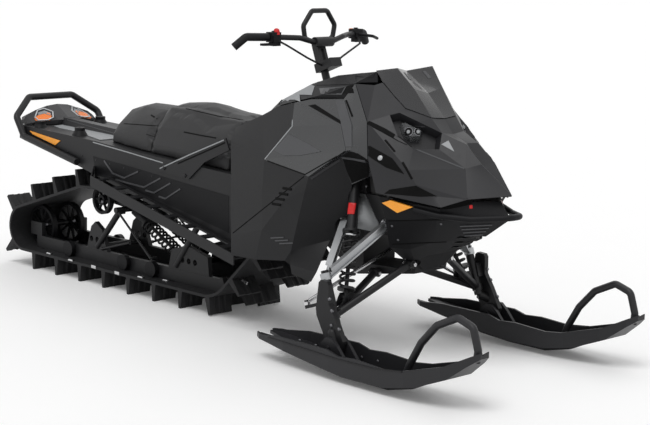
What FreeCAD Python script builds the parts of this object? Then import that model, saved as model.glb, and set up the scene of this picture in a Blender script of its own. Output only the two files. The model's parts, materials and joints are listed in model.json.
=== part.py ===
import FreeCAD, Part

import math
import os

from FreeCAD import Placement, Rotation, Vector

# Mountain snowmobile, millimetres. +X is forward, +Y is the machine's left, +Z is up.
# The floor is Z = 0, and the origin is under the middle of the machine's box.
# Places are stations on the body grid, as on a coach builder's drawing: a station is a
# share of the grid's spacing. Sections, walls, radii and clearances are sizes of their own.

SIZES = {
    "grid_long": 100,
    "grid_wide": 100,
    "grid_high": 100,
    "overrun": 30,
    "seat_gap": 0.3,
    "run_gap": 0.4,
    "skin_wall": 5,
    "pocket_depth": 42,
    "lens_depth": 36,
    "sheet_wall": 4,
    "track_side_gap": 13,
    "track_width": 406,
    "belt_thickness": 12,
    "lug_height": 76,
    "lug_pitch": 89,
    "lug_base": 30,
    "lug_tip": 14,
    "edge_lug_width": 122,
    "mid_lug_width": 176,
    "idler_radius": 98,
    "idler_width": 24,
    "idler_rim": 14,
    "idler_hub": 24,
    "upper_idler_radius": 66,
    "bogie_radius": 36,
    "drive_radius": 92,
    "drive_width": 40,
    "axle_radius": 12,
    "rail_height": 46,
    "rail_width": 22,
    "slider_height": 14,
    "bend_radius": 172,
    "ramp_length": 291,
    "arm_tube_radius": 14,
    "shock_radius": 20,
    "shaft_radius": 8,
    "eye_radius": 12,
    "eye_width": 26,
    "spring_radius": 27,
    "spring_wire": 5,
    "spring_pitch": 26,
    "cup_radius": 34,
    "boss_radius": 16,
    "boss_length": 40,
    "plate_wall": 3,
    "beam_depth": 32,
    "beam_width": 26,
    "beam_web": 7,
    "cross_radius": 13,
    "rod_thin_radius": 5,
    "flute_depth": 5,
    "kingpin_radius": 10,
    "forging_wall": 22,
    "forging_gap": 6,
    "ball_eye_radius": 21,
    "ball_eye_height": 26,
    "spindle_depth": 44,
    "spindle_width": 34,
    "steer_arm_length": 110,
    "steer_arm_thick": 12,
    "rod_radius": 8,
    "rod_eye_radius": 14,
    "pivot_length": 60,
    "ski_plate": 12,
    "ski_keel_width": 26,
    "ski_wall": 9,
    "ski_loop_radius": 14,
    "ski_bolt_radius": 8,
    "ski_saddle_wall": 14,
    "bar_radius": 11,
    "grip_radius": 16,
    "loop_radius": 10,
    "block_width": 48,
    "block_depth": 36,
    "block_height": 40,
    "button_radius": 9,
    "lever_thick": 9,
    "cable_radius": 4,
    "clamp_radius": 20,
    "hoop_radius": 16,
    "reflector_depth": 12,
    "anchor_radius": 24,
    "anchor_foot": 40,
    "anchor_height": 14,
    "anchor_lift": 18,
    "anchor_bore": 5.5,
    "anchor_nut": 9,
    "bumper_tube_radius": 12,
    "riser_width": 46,
    "riser_depth": 30,
    "post_radius": 16,
    "frame_tube_radius": 11,
    "board_thickness": 6,
    "board_width": 112,
    "board_rail_height": 46,
}

doc = FreeCAD.newDocument("snowmobile")
sheet = doc.addObject("Spreadsheet::Sheet", "sizes")
for row, (alias, amount) in enumerate(SIZES.items(), start=1):
    sheet.set("A%d" % row, alias)
    sheet.set("B%d" % row, str(amount))
    sheet.setAlias("B%d" % row, alias)
doc.recompute()


class Sizes:
    """Reads a named cell of the sheet, so that size.skin_wall is that cell's number."""

    def __getattr__(self, alias):
        return float(getattr(sheet, alias))


size = Sizes()
LEFT = Vector(0, 1, 0)
ORIGIN = Vector(0, 0, 0)
UP = Vector(0, 0, 1)
made = []


def place(stations):
    """A point from its three stations on the body grid."""
    along, across, high = stations
    return Vector(along * size.grid_long, across * size.grid_wide, high * size.grid_high)


def keep(label, shape):
    """One sub-part as a document object of its own."""
    piece = doc.addObject("Part::Feature", label)
    piece.Label = label
    piece.Shape = shape
    piece.Placement = Placement()
    made.append(piece)
    return piece


def mirrored(shape):
    """The same form on the machine's left."""
    return shape.mirror(ORIGIN, LEFT)


def both(shape):
    """A form and its mirror image, as two solids of one sub-part."""
    return Part.makeCompound([shape, mirrored(shape)])


def main_solid(shape):
    """The largest solid of a cut form, without the slivers beside it."""
    return max(shape.Solids, key=lambda solid: solid.Volume)


def polygon(points):
    """A closed flat outline."""
    return Part.makePolygon(list(points) + [points[0]])


def side_slab(outline, half_width):
    """An outline of (along, high) stations, spread to both sides of the middle."""
    points = [place((along, 0, high)) - LEFT * half_width for along, high in outline]
    return Part.Face(polygon(points)).extrude(LEFT * (2 * half_width))


def side_plate(outline, across, thickness):
    """An upright plate whose outer face lies at one station across, on the right."""
    points = [place((along, 0, high)) - LEFT * across for along, high in outline]
    return Part.Face(polygon(points)).extrude(LEFT * thickness)


def beam(start, end, depth, width, web):
    """A forged I-section between two points, with its web upright."""
    run = (end - start).normalize()
    side = run.cross(UP).normalize()
    rise = side.cross(run).normalize()
    flange = web * 0.8
    corners = (
        (-0.5, -0.5, 0), (0.5, -0.5, 0), (0.5, -0.5, 1), (0, -0.5, 1), (0, 0.5, -1), (0.5, 0.5, -1),
        (0.5, 0.5, 0), (-0.5, 0.5, 0), (-0.5, 0.5, -1), (0, 0.5, -1), (0, -0.5, 1), (-0.5, -0.5, 1),
    )
    points = []
    for number, (across, high, step) in enumerate(corners):
        reach = side * (across * width)
        if not across:
            reach = side * (web / 2 * (1 if number < 6 else -1))
        points.append(start + reach + rise * (high * depth + step * flange))
    return Part.Face(polygon(points)).extrude(end - start)


def coil(start, end, radius, wire, turns):
    """A helical spring between two points."""
    run = end - start
    pitch = (run.Length - 2 * wire) / turns
    helix = Part.makeHelix(pitch, pitch * turns, radius)
    ring = Part.Wire(Part.Circle(Vector(radius, 0, 0), LEFT, wire).toShape())
    spring = Part.Wire(helix).makePipeShell([ring], True, True)
    spring.Placement = Placement(start + run.normalize() * wire, Rotation(UP, run))
    return spring


def bar(start, end, radius):
    """A round bar between two points."""
    run = end - start
    return Part.makeCylinder(radius, run.Length, start, run)


def path_of(points, bend):
    """Straight runs joined by tangent arcs."""
    edges = []
    last = points[0]
    for before, corner, after in zip(points, points[1:], points[2:]):
        arrive = (corner - before).normalize()
        leave = (after - corner).normalize()
        half_turn = arrive.getAngle(leave) / 2
        cut = bend * math.tan(half_turn)
        start = corner - arrive * cut
        end = corner + leave * cut
        inward = (leave - arrive).normalize()
        middle = corner + inward * (bend / math.cos(half_turn) - bend)
        edges.append(Part.LineSegment(last, start).toShape())
        edges.append(Part.Arc(start, middle, end).toShape())
        last = end
    edges.append(Part.LineSegment(last, points[-1]).toShape())
    return Part.Wire(edges)


def tube(points, radius, bend):
    """A round tube, drawn as a solid rod, along bent runs."""
    path = path_of(points, bend)
    ring = Part.Wire(Part.Circle(points[0], points[1] - points[0], radius).toShape())
    return path.makePipeShell([ring], True, False)


def patch(low_left, low_right, top_left, top_right):
    """One ruled facet between two straight edges."""
    low = Part.LineSegment(low_left, low_right).toShape()
    top = Part.LineSegment(top_left, top_right).toShape()
    return Part.makeRuledSurface(low, top)


def grid_normal(grid, i, j):
    """The outward direction at a grid point, from its neighbours."""
    rows = len(grid)
    columns = len(grid[0])
    down = grid[min(i + 1, rows - 1)][j] - grid[max(i - 1, 0)][j]
    along = grid[i][min(j + 1, columns - 1)] - grid[i][max(j - 1, 0)]
    return along.cross(down).normalize()


def creased_panel(rows, wall):
    """A moulded panel with creases: a grid of stations, thickened to its inside.

    Rows run from the top down and columns from the rear to the front on the right side,
    so that the inside lies against the normal.
    """
    outer = [[place(point) for point in line] for line in rows]
    inner = []
    for i, line in enumerate(outer):
        inner.append([point + grid_normal(outer, i, j) * wall for j, point in enumerate(line)])
    last_row = len(outer) - 1
    last_column = len(outer[0]) - 1
    faces = []
    for side in (outer, inner):
        for i in range(last_row):
            for j in range(last_column):
                faces.append(patch(side[i][j], side[i][j + 1], side[i + 1][j], side[i + 1][j + 1]))
    for j in range(last_column):
        for i in (0, last_row):
            faces.append(patch(outer[i][j], outer[i][j + 1], inner[i][j], inner[i][j + 1]))
    for i in range(last_row):
        for j in (0, last_column):
            faces.append(patch(outer[i][j], outer[i + 1][j], inner[i][j], inner[i + 1][j]))
    shell = Part.makeShell(faces)
    shell.sewShape()
    solid = Part.makeSolid(shell)
    if solid.Volume < 0:
        solid.reverse()
    return solid


def face_normal(points):
    """The direction of a nearly flat outline, by its corners in turn."""
    total = Vector(0, 0, 0)
    for here, after in zip(points, points[1:] + points[:1]):
        total = total + here.cross(after)
    return total.normalize()


def one_winding(faces, points, inside):
    """The faces turned so that all run the same way round, seen from outside."""
    turned = {}
    waiting = list(range(len(faces)))
    while waiting:
        first = waiting[0]
        corners = [points[name] for name in faces[first]]
        outward = corners[0] - inside
        keep_way = face_normal(corners).dot(outward) > 0
        turned[first] = list(faces[first]) if keep_way else list(reversed(faces[first]))
        waiting.remove(first)
        growing = [first]
        while growing:
            done = turned[growing.pop()]
            runs = set(zip(done, done[1:] + done[:1]))
            for number in list(waiting):
                face = list(faces[number])
                own = set(zip(face, face[1:] + face[:1]))
                back = set((after, here) for here, after in own)
                if own & runs:
                    turned[number] = list(reversed(face))
                elif back & runs:
                    turned[number] = face
                else:
                    continue
                waiting.remove(number)
                growing.append(number)
    return [turned[number] for number in range(len(faces))]


def corner_face(points):
    """A facet through three corners, or a ruled one through four."""
    if len(points) == 3:
        return Part.Face(polygon(points))
    return patch(points[0], points[1], points[3], points[2])


def creased_form(shares, faces, wall, inside, full=False, extra=None):
    """A moulded skin from named corners and facets, thickened to its inside.

    With full set, the right half is continued over the middle. The extra corners are points
    already placed.
    """
    points = {name: place(share) for name, share in shares.items()}
    points.update(extra or {})
    faces = [list(face) for face in faces]
    if full:
        twin = {}
        for name, point in list(points.items()):
            twin[name] = name
            if point.y:
                twin[name] = name + "_left"
                points[name + "_left"] = Vector(point.x, -point.y, point.z)
        faces += [[twin[name] for name in reversed(face)] for face in faces if any(twin[n] != n for n in face)]
    faces = one_winding(faces, points, place(inside))
    normals = {}
    for face in faces:
        normal = face_normal([points[name] for name in face])
        for name in face:
            normals[name] = normals.get(name, Vector(0, 0, 0)) + normal
    inner = {}
    for name, normal in normals.items():
        inner[name] = points[name] - normal.normalize() * wall
    parts = []
    runs = {}
    for face in faces:
        parts.append(corner_face([points[name] for name in face]))
        parts.append(corner_face([inner[name] for name in face]))
        for here, after in zip(face, face[1:] + face[:1]):
            key = tuple(sorted((here, after)))
            runs[key] = runs.get(key, 0) + 1
    for (here, after), count in runs.items():
        if count == 1:
            parts.append(patch(points[here], points[after], inner[here], inner[after]))
    shell = Part.makeShell(parts)
    shell.sewShape()
    solid = Part.makeSolid(shell)
    if solid.Volume < 0:
        solid.reverse()
    return solid


# Running line of the belt, from stations of the axles
REAR_AXLE_SHARES = (-14.66, 0)
UPPER_AXLE_SHARES = (-10.0, 3.70)
RAIL_BEND_SHARES = (-1.5, 0)
RAMP_TURN = 44


def rear_axle():
    """The centre of the rear idlers."""
    high = size.lug_height + size.belt_thickness + size.idler_radius
    return Vector(REAR_AXLE_SHARES[0] * size.grid_long, 0, high)


def upper_axle():
    """The centre of the upper idlers."""
    return place((UPPER_AXLE_SHARES[0], 0, UPPER_AXLE_SHARES[1]))


def bend_centre():
    """The middle of the arc in which the belt leaves the ground at the front."""
    high = size.lug_height + size.belt_thickness + size.bend_radius
    return Vector(RAIL_BEND_SHARES[0] * size.grid_long, 0, high)


def drive_axle():
    """The drive axle, at the upper end of the ramp that follows the bend."""
    turn = math.radians(RAMP_TURN)
    out = Vector(math.sin(turn), 0, -math.cos(turn))
    along = Vector(math.cos(turn), 0, math.sin(turn))
    return bend_centre() + out * (size.bend_radius - size.drive_radius) + along * size.ramp_length


def tunnel_half():
    """Half the tunnel's width: the belt, its side gap and the sheet."""
    return size.track_width / 2 + size.track_side_gap + size.sheet_wall


def tangent_points(first, first_radius, second, second_radius, side):
    """Where a belt touches two wheels; side is +1 over the top and -1 below."""
    run = second - first
    gap = run.Length
    lean = math.atan2(run.z, run.x)
    tilt = math.asin((first_radius - second_radius) / gap)
    angle = lean + side * (math.pi / 2 - side * side * tilt)
    out = Vector(math.cos(angle), 0, math.sin(angle))
    return first + out * first_radius, second + out * second_radius


def belt_wire(offset):
    """The loop at a distance outside the wheels, as runs and arcs."""
    wheels = (
        (drive_axle(), size.drive_radius + offset),
        (upper_axle(), size.upper_idler_radius + offset),
        (rear_axle(), size.idler_radius + offset),
    )
    drive, drive_reach = wheels[0]
    upper, upper_reach = wheels[1]
    rear, rear_reach = wheels[2]
    bend = bend_centre()
    bend_reach = size.bend_radius + offset
    top_upper, top_drive = tangent_points(upper, upper_reach, drive, drive_reach, 1)
    top_rear, back_upper = tangent_points(rear, rear_reach, upper, upper_reach, 1)
    ramp_bend, ramp_drive = tangent_points(bend, bend_reach, drive, drive_reach, -1)
    low_rear = rear - UP * rear_reach
    low_bend = bend - UP * bend_reach
    front = drive + Vector(drive_reach, 0, 0)
    back = rear - Vector(rear_reach, 0, 0)
    upper_mid = upper + ((top_upper - upper) + (back_upper - upper)).normalize() * upper_reach
    bend_mid = bend + ((ramp_bend - bend) + (low_bend - bend)).normalize() * bend_reach
    edges = [
        Part.LineSegment(low_rear, low_bend).toShape(),
        Part.Arc(low_bend, bend_mid, ramp_bend).toShape(),
        Part.LineSegment(ramp_bend, ramp_drive).toShape(),
        Part.Arc(ramp_drive, front, top_drive).toShape(),
        Part.LineSegment(top_drive, top_upper).toShape(),
        Part.Arc(top_upper, upper_mid, back_upper).toShape(),
        Part.LineSegment(back_upper, top_rear).toShape(),
        Part.Arc(top_rear, back, low_rear).toShape(),
    ]
    return Part.Wire(edges)


def fluted_outline(centre, width, half, along):
    """A lug's section: a bar across the belt with two flutes in each of its faces."""
    depth = min(size.flute_depth, half / 2)
    steps = (-0.5, -0.26, -0.20, -0.08, -0.02, 0.02, 0.08, 0.20, 0.26, 0.5)
    sunk = (0, 0, 1, 1, 0, 0, 1, 1, 0, 0)
    front = []
    back = []
    for step, deep in zip(steps, sunk):
        across = centre + LEFT * (step * width)
        front.append(across + along * (half - deep * depth))
        back.append(across - along * (half - deep * depth))
    return front + list(reversed(back))


def lug(width, across, foot, out, along):
    """One paddle of the belt, fluted and tapered to its tip."""
    root = foot - out * (size.belt_thickness / 2)
    tip = foot + out * size.lug_height
    wires = []
    for centre, half in ((root, size.lug_base / 2), (tip, size.lug_tip / 2)):
        wires.append(polygon(fluted_outline(centre + LEFT * across, width, half, along)))
    return Part.makeLoft(wires, True, True)


def track():
    """The rubber belt with its lugs, one fixed loop."""
    outer = belt_wire(size.belt_thickness)
    inner = belt_wire(0)
    half = size.track_width / 2
    band = Part.Face(outer).extrude(LEFT * size.track_width)
    hole = Part.Face(inner).extrude(LEFT * size.track_width)
    belt = band.cut(hole)
    belt.translate(LEFT * -half)
    count = int(round(outer.Length / size.lug_pitch / 2)) * 2
    feet = outer.discretize(Number=count + 1)[:-1]
    lugs = []
    for number, foot in enumerate(feet):
        ahead = feet[(number + 1) % count]
        behind = feet[number - 1]
        along = (ahead - behind).normalize()
        out = Vector(along.z, 0, -along.x)
        if number % 2:
            edge = half - size.edge_lug_width / 2
            lugs.append(lug(size.edge_lug_width, edge, foot, out, along))
            lugs.append(lug(size.edge_lug_width, -edge, foot, out, along))
        else:
            lugs.append(lug(size.mid_lug_width, 0, foot, out, along))
    print("belt length", round(outer.Length), "bars", count)
    keep("track", belt.multiFuse(lugs))


def spoked_wheel(centre, radius, width, spokes):
    """An idler: a rim, a hub and thin spokes, on the axle's line."""
    base = centre - LEFT * (width / 2)
    rim = Part.makeCylinder(radius, width, base, LEFT)
    rim = rim.cut(Part.makeCylinder(radius - size.idler_rim, width, base, LEFT))
    hub = Part.makeCylinder(size.idler_hub, width, base, LEFT)
    arms = []
    for number in range(spokes):
        arm = Part.makeBox(radius - size.idler_rim / 2, width / 2, width / 4)
        arm.translate(Vector(0, -width / 4, -width / 8))
        arm.rotate(ORIGIN, LEFT, 360 * number / spokes)
        arm.translate(centre)
        arms.append(arm)
    wheel = rim.multiFuse([hub] + arms)
    return wheel.cut(Part.makeCylinder(size.axle_radius + size.seat_gap, 3 * width, base - LEFT * width, LEFT))


def idlers():
    """The rear pair on their axle, and the upper pair."""
    side = LEFT * (0.8 * size.grid_wide)
    solids = []
    for across in (-1, 1):
        wheel = spoked_wheel(rear_axle() + side * across, size.idler_radius - size.seat_gap, size.idler_width, 10)
        solids.append(wheel)
        upper = spoked_wheel(
            upper_axle() + side * across, size.upper_idler_radius - size.seat_gap, size.idler_width, 6
        )
        solids.append(upper)
    solids += bogies()
    keep("idler_wheels", Part.makeCompound(solids))


RAIL_HALF_SHARE = 1.22


def rail_points():
    """Where the rails touch the belt's inner side, from the rear to the ramp."""
    bend = bend_centre()
    turn = math.radians(24)
    out = Vector(math.sin(turn), 0, -math.cos(turn))
    floor = size.lug_height + size.belt_thickness
    rear = Vector(rear_axle().x + size.idler_radius * 0.2, 0, floor)
    low = bend - UP * size.bend_radius
    middle = bend + Vector(math.sin(turn / 2), 0, -math.cos(turn / 2)) * size.bend_radius
    return rear, low, middle, bend + out * size.bend_radius


def rails():
    """The two slide rails with their sliders, and the plates that carry the rear wheels."""
    rear, low, middle, tip = rail_points()
    solids = []
    bend = bend_centre()
    depth = size.rail_height + size.slider_height
    start = Vector(rear.x, 0, rear.z + size.seat_gap)
    inner_share = (size.bend_radius - size.seat_gap) / size.bend_radius
    upper_share = (size.bend_radius - depth) / size.bend_radius
    inner = [bend + (point - bend) * inner_share for point in (low, middle, tip)]
    upper = [bend + (point - bend) * upper_share for point in (low, middle, tip)]
    edges = [
        Part.LineSegment(start, inner[0]).toShape(),
        Part.Arc(*inner).toShape(),
        Part.LineSegment(inner[2], upper[2]).toShape(),
        Part.Arc(upper[2], upper[1], upper[0]).toShape(),
        Part.LineSegment(upper[0], start + UP * (depth - size.seat_gap)).toShape(),
        Part.LineSegment(start + UP * (depth - size.seat_gap), start).toShape(),
    ]
    outline = Part.Face(Part.Wire(edges))
    for across in (-1, 1):
        rail = outline.extrude(LEFT * size.rail_width)
        rail.translate(LEFT * (across * RAIL_HALF_SHARE * size.grid_wide - size.rail_width / 2))
        hole = Part.makeCylinder(
            size.axle_radius + size.seat_gap, size.rail_width + size.overrun,
            rear_axle() + LEFT * (across * RAIL_HALF_SHARE * size.grid_wide - size.rail_width), LEFT
        )
        solids.append(rail.cut(hole))
    keep("slide_rails", Part.makeCompound(solids))


def rail_height():
    """The top of the rails over the flat stretch."""
    return size.lug_height + size.belt_thickness + size.rail_height + size.slider_height


def axles():
    """The rear axle between the rails' ends with its two carriers, and the drive axle."""
    half = RAIL_HALF_SHARE * size.grid_wide + size.rail_width / 2
    rear = rear_axle()
    shaft = bar(rear - LEFT * half, rear + LEFT * half, size.axle_radius)
    carriers = []
    for across in (-1, 1):
        low = Vector(rear.x, 0, rail_height() + size.seat_gap)
        base = low + LEFT * (across * RAIL_HALF_SHARE * size.grid_wide - size.rail_width / 2)
        corner = base - Vector(size.grid_long * 0.3, 0, 0)
        block = Part.makeBox(size.grid_long * 0.9, size.rail_width, rear.z + size.idler_hub - low.z, corner)
        carriers.append(block)
    keep("rear_axle", shaft.multiFuse(carriers))
    drive = drive_axle()
    reach = tunnel_half() - size.sheet_wall - size.seat_gap
    solids = [bar(drive - LEFT * reach, drive + LEFT * reach, size.axle_radius * 1.5)]
    for across in (-1, 1):
        middle = drive + LEFT * (across * 0.75 * size.grid_wide - size.drive_width / 2)
        solids.append(Part.makeCylinder(size.drive_radius - size.run_gap, size.drive_width, middle, LEFT))
    keep("drive_axle", solids[0].multiFuse(solids[1:]))


TUNNEL_OUTLINE_SHARES = (
    (-14.6, 6.82), (-8.75, 6.66), (-6.26, 6.50), (1.7, 6.2), (3.0, 6.0), (3.5, 5.3),
    (3.6, 4.2), (3.2, 3.3), (1.9, 2.95), (-8.2, 5.0), (-10.05, 5.4), (-14.6, 6.2),
)


def tunnel():
    """The folded sheet over the track, open below."""
    half = tunnel_half()
    outer = side_slab(TUNNEL_OUTLINE_SHARES, half)
    drop = size.sheet_wall / size.grid_high
    back = size.sheet_wall / size.grid_long
    top = [(along, high - drop) for along, high in TUNNEL_OUTLINE_SHARES[:4]]
    top[0] = (top[0][0] - 1, top[0][1] + 0.028)
    front = [(along - back, high - drop) for along, high in TUNNEL_OUTLINE_SHARES[4:7]]
    front.append((TUNNEL_OUTLINE_SHARES[7][0] - back, TUNNEL_OUTLINE_SHARES[7][1] - 1))
    inner = side_slab(top + front + [(-15.6, 2.0)], half - size.sheet_wall)
    keep("tunnel", outer.cut(inner))


BOARD_LINE_SHARES = ((1.9, 3.05), (-7.6, 5.1), (-8.8, 5.3))


def running_boards():
    """A pierced foot board on each side with its outer rail."""
    inner = tunnel_half() + size.seat_gap
    outer = inner + size.board_width
    front, rear, tail = [place((along, 0, high)) for along, high in BOARD_LINE_SHARES]
    thick = UP * size.board_thickness
    side = Part.Face(polygon([front, rear, rear + thick, front + thick]))
    deck = side.extrude(LEFT * size.board_width)
    deck.translate(LEFT * -outer)
    run = rear - front
    holes = []
    count = 8
    for number in range(count):
        middle = front + run * ((number + 0.5) / count)
        hole = Part.makeBox(run.Length / count * 0.74, size.board_width * 0.62, 4 * size.overrun)
        across = -(inner + size.board_width * 0.81)
        hole.translate(middle + Vector(-run.Length / count * 0.37, across, -2 * size.overrun))
        holes.append(hole)
    deck = deck.cut(Part.makeCompound(holes))
    rise = UP * size.board_rail_height
    drop = rise * 0.5
    rail_side = Part.Face(polygon([front - drop, rear - drop, rear + drop, front + drop]))
    rail = rail_side.extrude(LEFT * size.board_thickness)
    rail.translate(LEFT * (-outer - size.board_thickness / 2))
    tip = Part.makeLoft([
        polygon([rear + LEFT * -outer - drop, rear + LEFT * (-outer + size.board_thickness) - drop,
                 rear + LEFT * (-outer + size.board_thickness) + drop, rear + LEFT * -outer + drop]),
        polygon([tail + LEFT * -(inner + size.board_thickness) - drop, tail + LEFT * -inner - drop,
                 tail + LEFT * -inner + drop, tail + LEFT * -(inner + size.board_thickness) + drop]),
    ], True, True)
    keep("running_boards", both(deck.multiFuse([rail, tip])))


ARM_HEAD_SHARES = (-8.04, 1.30, 3.55)
ARM_FOOT_SHARES = (-9.75, 1.30, 1.60)
FRONT_HEAD_SHARES = (-2.30, 1.30, 4.10)
FRONT_FOOT_SHARES = (-4.10, 1.30, 1.60)
ARM_LIMIT_SHARE = 1.60
REAR_BRACKET_SHARES = ((-10.5, 1.485), (-9.0, 1.485), (-9.4, 2.45), (-9.9, 2.75), (-10.2, 2.5))
FRONT_BRACKET_SHARES = ((-4.6, 1.485), (-1.9, 1.485), (-2.0, 2.30), (-3.4, 2.62), (-4.4, 2.30))
SCISSOR_SHARES = (((-7.9, 1.52, 3.45), (-5.6, 1.52, 1.7)), ((-9.2, 1.52, 1.6), (-7.1, 1.52, 2.2)))
SHOCK_SHARES = ((-7.86, 0.62, 3.46), (-4.28, 0.62, 1.72))
BOGIE_SHARES = (-11.7, -7.6, -5.6)


def skid_arms():
    """The swing arms of the skid frame with their cross tubes, brackets and rods."""
    wide = tunnel_half() - size.sheet_wall - size.seat_gap
    limit = ARM_LIMIT_SHARE * size.grid_wide
    heads = ((ARM_HEAD_SHARES, ARM_FOOT_SHARES, limit), (FRONT_HEAD_SHARES, FRONT_FOOT_SHARES, wide))
    upper = upper_axle()
    arms = []
    for head, foot, reach in heads:
        middle = place((head[0], 0, head[2]))
        low = place((foot[0], 0, foot[2]))
        half = foot[1] * size.grid_wide
        arms.append(bar(middle - LEFT * reach, middle + LEFT * reach, size.cross_radius))
        arms.append(bar(low - LEFT * half, low + LEFT * half, size.cross_radius))
        for across in (-1, 1):
            start = place((head[0], across * head[1], head[2]))
            end = place((foot[0], across * foot[1], foot[2]))
            arms.append(bar(start, end, size.arm_tube_radius))
    head = place((ARM_HEAD_SHARES[0], 0, ARM_HEAD_SHARES[2]))
    for across in (-1, 1):
        side = LEFT * (across * 0.45 * size.grid_wide)
        arms.append(bar(head + side, upper + side, size.cross_radius))
    reach = 0.8 * size.grid_wide - size.idler_width / 2 - size.seat_gap
    arms.append(bar(upper - LEFT * reach, upper + LEFT * reach, size.cross_radius))
    for share in (REAR_BRACKET_SHARES, FRONT_BRACKET_SHARES):
        for across in (-1, 1):
            plate = side_plate(share, RAIL_HALF_SHARE * size.grid_wide + size.rail_width / 2, size.rail_width)
            low = share[0][1]
            middle = place(((share[0][0] + share[1][0]) / 2, -1.2, low + 0.45))
            step = Vector(size.grid_long * 0.42, 0, 0)
            for number in (-1, 0, 1):
                start = middle + step * number - LEFT * (2 * size.rail_width)
                plate = plate.cut(Part.makeCylinder(size.cross_radius, 4 * size.rail_width, start, LEFT))
            arms.append(plate if across < 0 else mirrored(plate))
    for start, end in SCISSOR_SHARES:
        for across in (-1, 1):
            first = place((start[0], across * start[1], start[2]))
            last = place((end[0], across * end[1], end[2]))
            inner = place((start[0], across * 1.2, start[2]))
            far = place((end[0], across * 1.2, end[2]))
            arms.append(bar(first, last, size.rod_thin_radius))
            arms.append(bar(first, inner, size.rod_thin_radius * 1.6))
            arms.append(bar(last, far, size.rod_thin_radius * 1.6))
    body = arms[0].multiFuse(arms[1:])
    top, low = [place(corner) for corner in SHOCK_SHARES]
    shock, spring = damper(top, low, 0.28, LEFT)
    keep("skid_arms", body.cut(piece_shape("slide_rails")))
    keep("skid_shocks", both(shock.cut(body)))
    keep("skid_springs", both(spring))


def damper(top, low, share, hinge):
    """A coil-over between two eyes: body, shaft and cups as one solid, and its spring as another."""
    run = low - top
    step = run.normalize()
    waist = top + (low - top) * share
    foot = low - step * (2.4 * size.eye_radius)
    half = hinge * (size.eye_width / 2)
    parts = [
        Part.makeCylinder(size.eye_radius, size.eye_width, low - half, hinge),
        bar(top, waist, size.shock_radius),
        bar(waist, low, size.shaft_radius),
        bar(waist - step * (2 * size.spring_wire), waist, size.cup_radius),
        bar(foot - step * (2 * size.spring_wire), foot, size.cup_radius),
    ]
    body = Part.makeCylinder(size.eye_radius, size.eye_width, top - half, hinge).multiFuse(parts)
    start = waist + step * size.run_gap
    end = foot - step * (2 * size.spring_wire + size.run_gap)
    turns = max(3, round((end - start).Length / size.spring_pitch))
    return body, coil(start, end, size.spring_radius, size.spring_wire, turns)


def bogies():
    """Small guide wheels on the outer side of each rail."""
    solids = []
    base = size.lug_height + size.belt_thickness + size.bogie_radius
    half = RAIL_HALF_SHARE * size.grid_wide + size.rail_width / 2
    for along in BOGIE_SHARES:
        for across in (-1, 1):
            centre = Vector(along * size.grid_long, across * (half + size.idler_width / 2 + size.seat_gap), base)
            start = centre - LEFT * (size.idler_width / 2)
            wheel = Part.makeCylinder(size.bogie_radius - size.seat_gap, size.idler_width, start, LEFT)
            solids.append(wheel)
    return solids


SEAT_SHARES = (
    (-8.46, (1.40, 7.00), (1.12, 7.35), (0.50, 7.75), (0, 7.80)),
    (-8.22, (1.58, 7.00), (1.24, 7.47), (0.55, 8.06), (0, 8.13)),
    (-7.20, (1.66, 6.95), (1.40, 7.53), (0.64, 8.30), (0, 8.41)),
    (-5.90, (1.72, 6.90), (1.45, 7.58), (0.72, 8.32), (0, 8.42)),
    (-5.40, (1.73, 6.88), (1.46, 7.60), (0.74, 8.32), (0, 8.42)),
)
SADDLE_SHARES = (
    (-5.36, (1.73, 6.88), (1.50, 7.60), (0.88, 8.35), (0, 8.48)),
    (-4.90, (1.74, 6.88), (1.52, 7.62), (1.04, 8.50), (0, 8.64)),
    (-3.20, (1.76, 6.84), (1.55, 7.60), (1.08, 8.55), (0, 8.73)),
    (-1.60, (1.76, 6.80), (1.56, 7.58), (1.06, 8.38), (0, 8.48)),
    (-0.26, (1.76, 6.76), (1.56, 7.56), (1.04, 8.32), (0, 8.38)),
)


def tunnel_top(along):
    """The station of the tunnel's top over a station along the machine."""
    line = TUNNEL_OUTLINE_SHARES[:4]
    for (rear, rear_high), (front, front_high) in zip(line, line[1:]):
        if rear <= along <= front:
            return rear_high + (front_high - rear_high) * (along - rear) / (front - rear)
    return line[0][1]


def cushion(stations):
    """A padded block through its half sections from foot to crest; its underside lies on the tunnel."""
    wires = []
    for along, *half in stations:
        foot = half[0][0] * 1.02
        low = tunnel_top(along) + size.seat_gap / size.grid_high
        right = [(foot, low)] + half
        points = [place((along, -across, high)) for across, high in right]
        points += [place((along, across, high)) for across, high in reversed(right[:-1])]
        wires.append(polygon(points))
    return Part.makeLoft(wires, True, True)


def seats():
    """The rear cushion and the saddle."""
    keep("seat_rear", cushion(SEAT_SHARES))
    keep("seat_saddle", cushion(SADDLE_SHARES))


HOOP_SHARES = (
    (-9.9, -2.363, 5.60), (-14.0, -2.363, 6.34), (-14.62, -2.363, 7.22), (-15.2, -1.25, 8.02),
    (-15.2, 1.25, 8.02), (-14.62, 2.363, 7.22), (-14.0, 2.363, 6.34), (-9.9, 2.363, 5.60),
)


def rear_hoop():
    """The bent carrying tube round the tail."""
    points = [place(point) for point in HOOP_SHARES]
    reach = tunnel_half() + size.seat_gap + size.hoop_radius
    for number in (0, 1, 2, -3, -2, -1):
        points[number].y = math.copysign(reach, points[number].y)
    keep("rear_hoop", tube(points, size.hoop_radius, 1.9 * size.hoop_radius))


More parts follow.
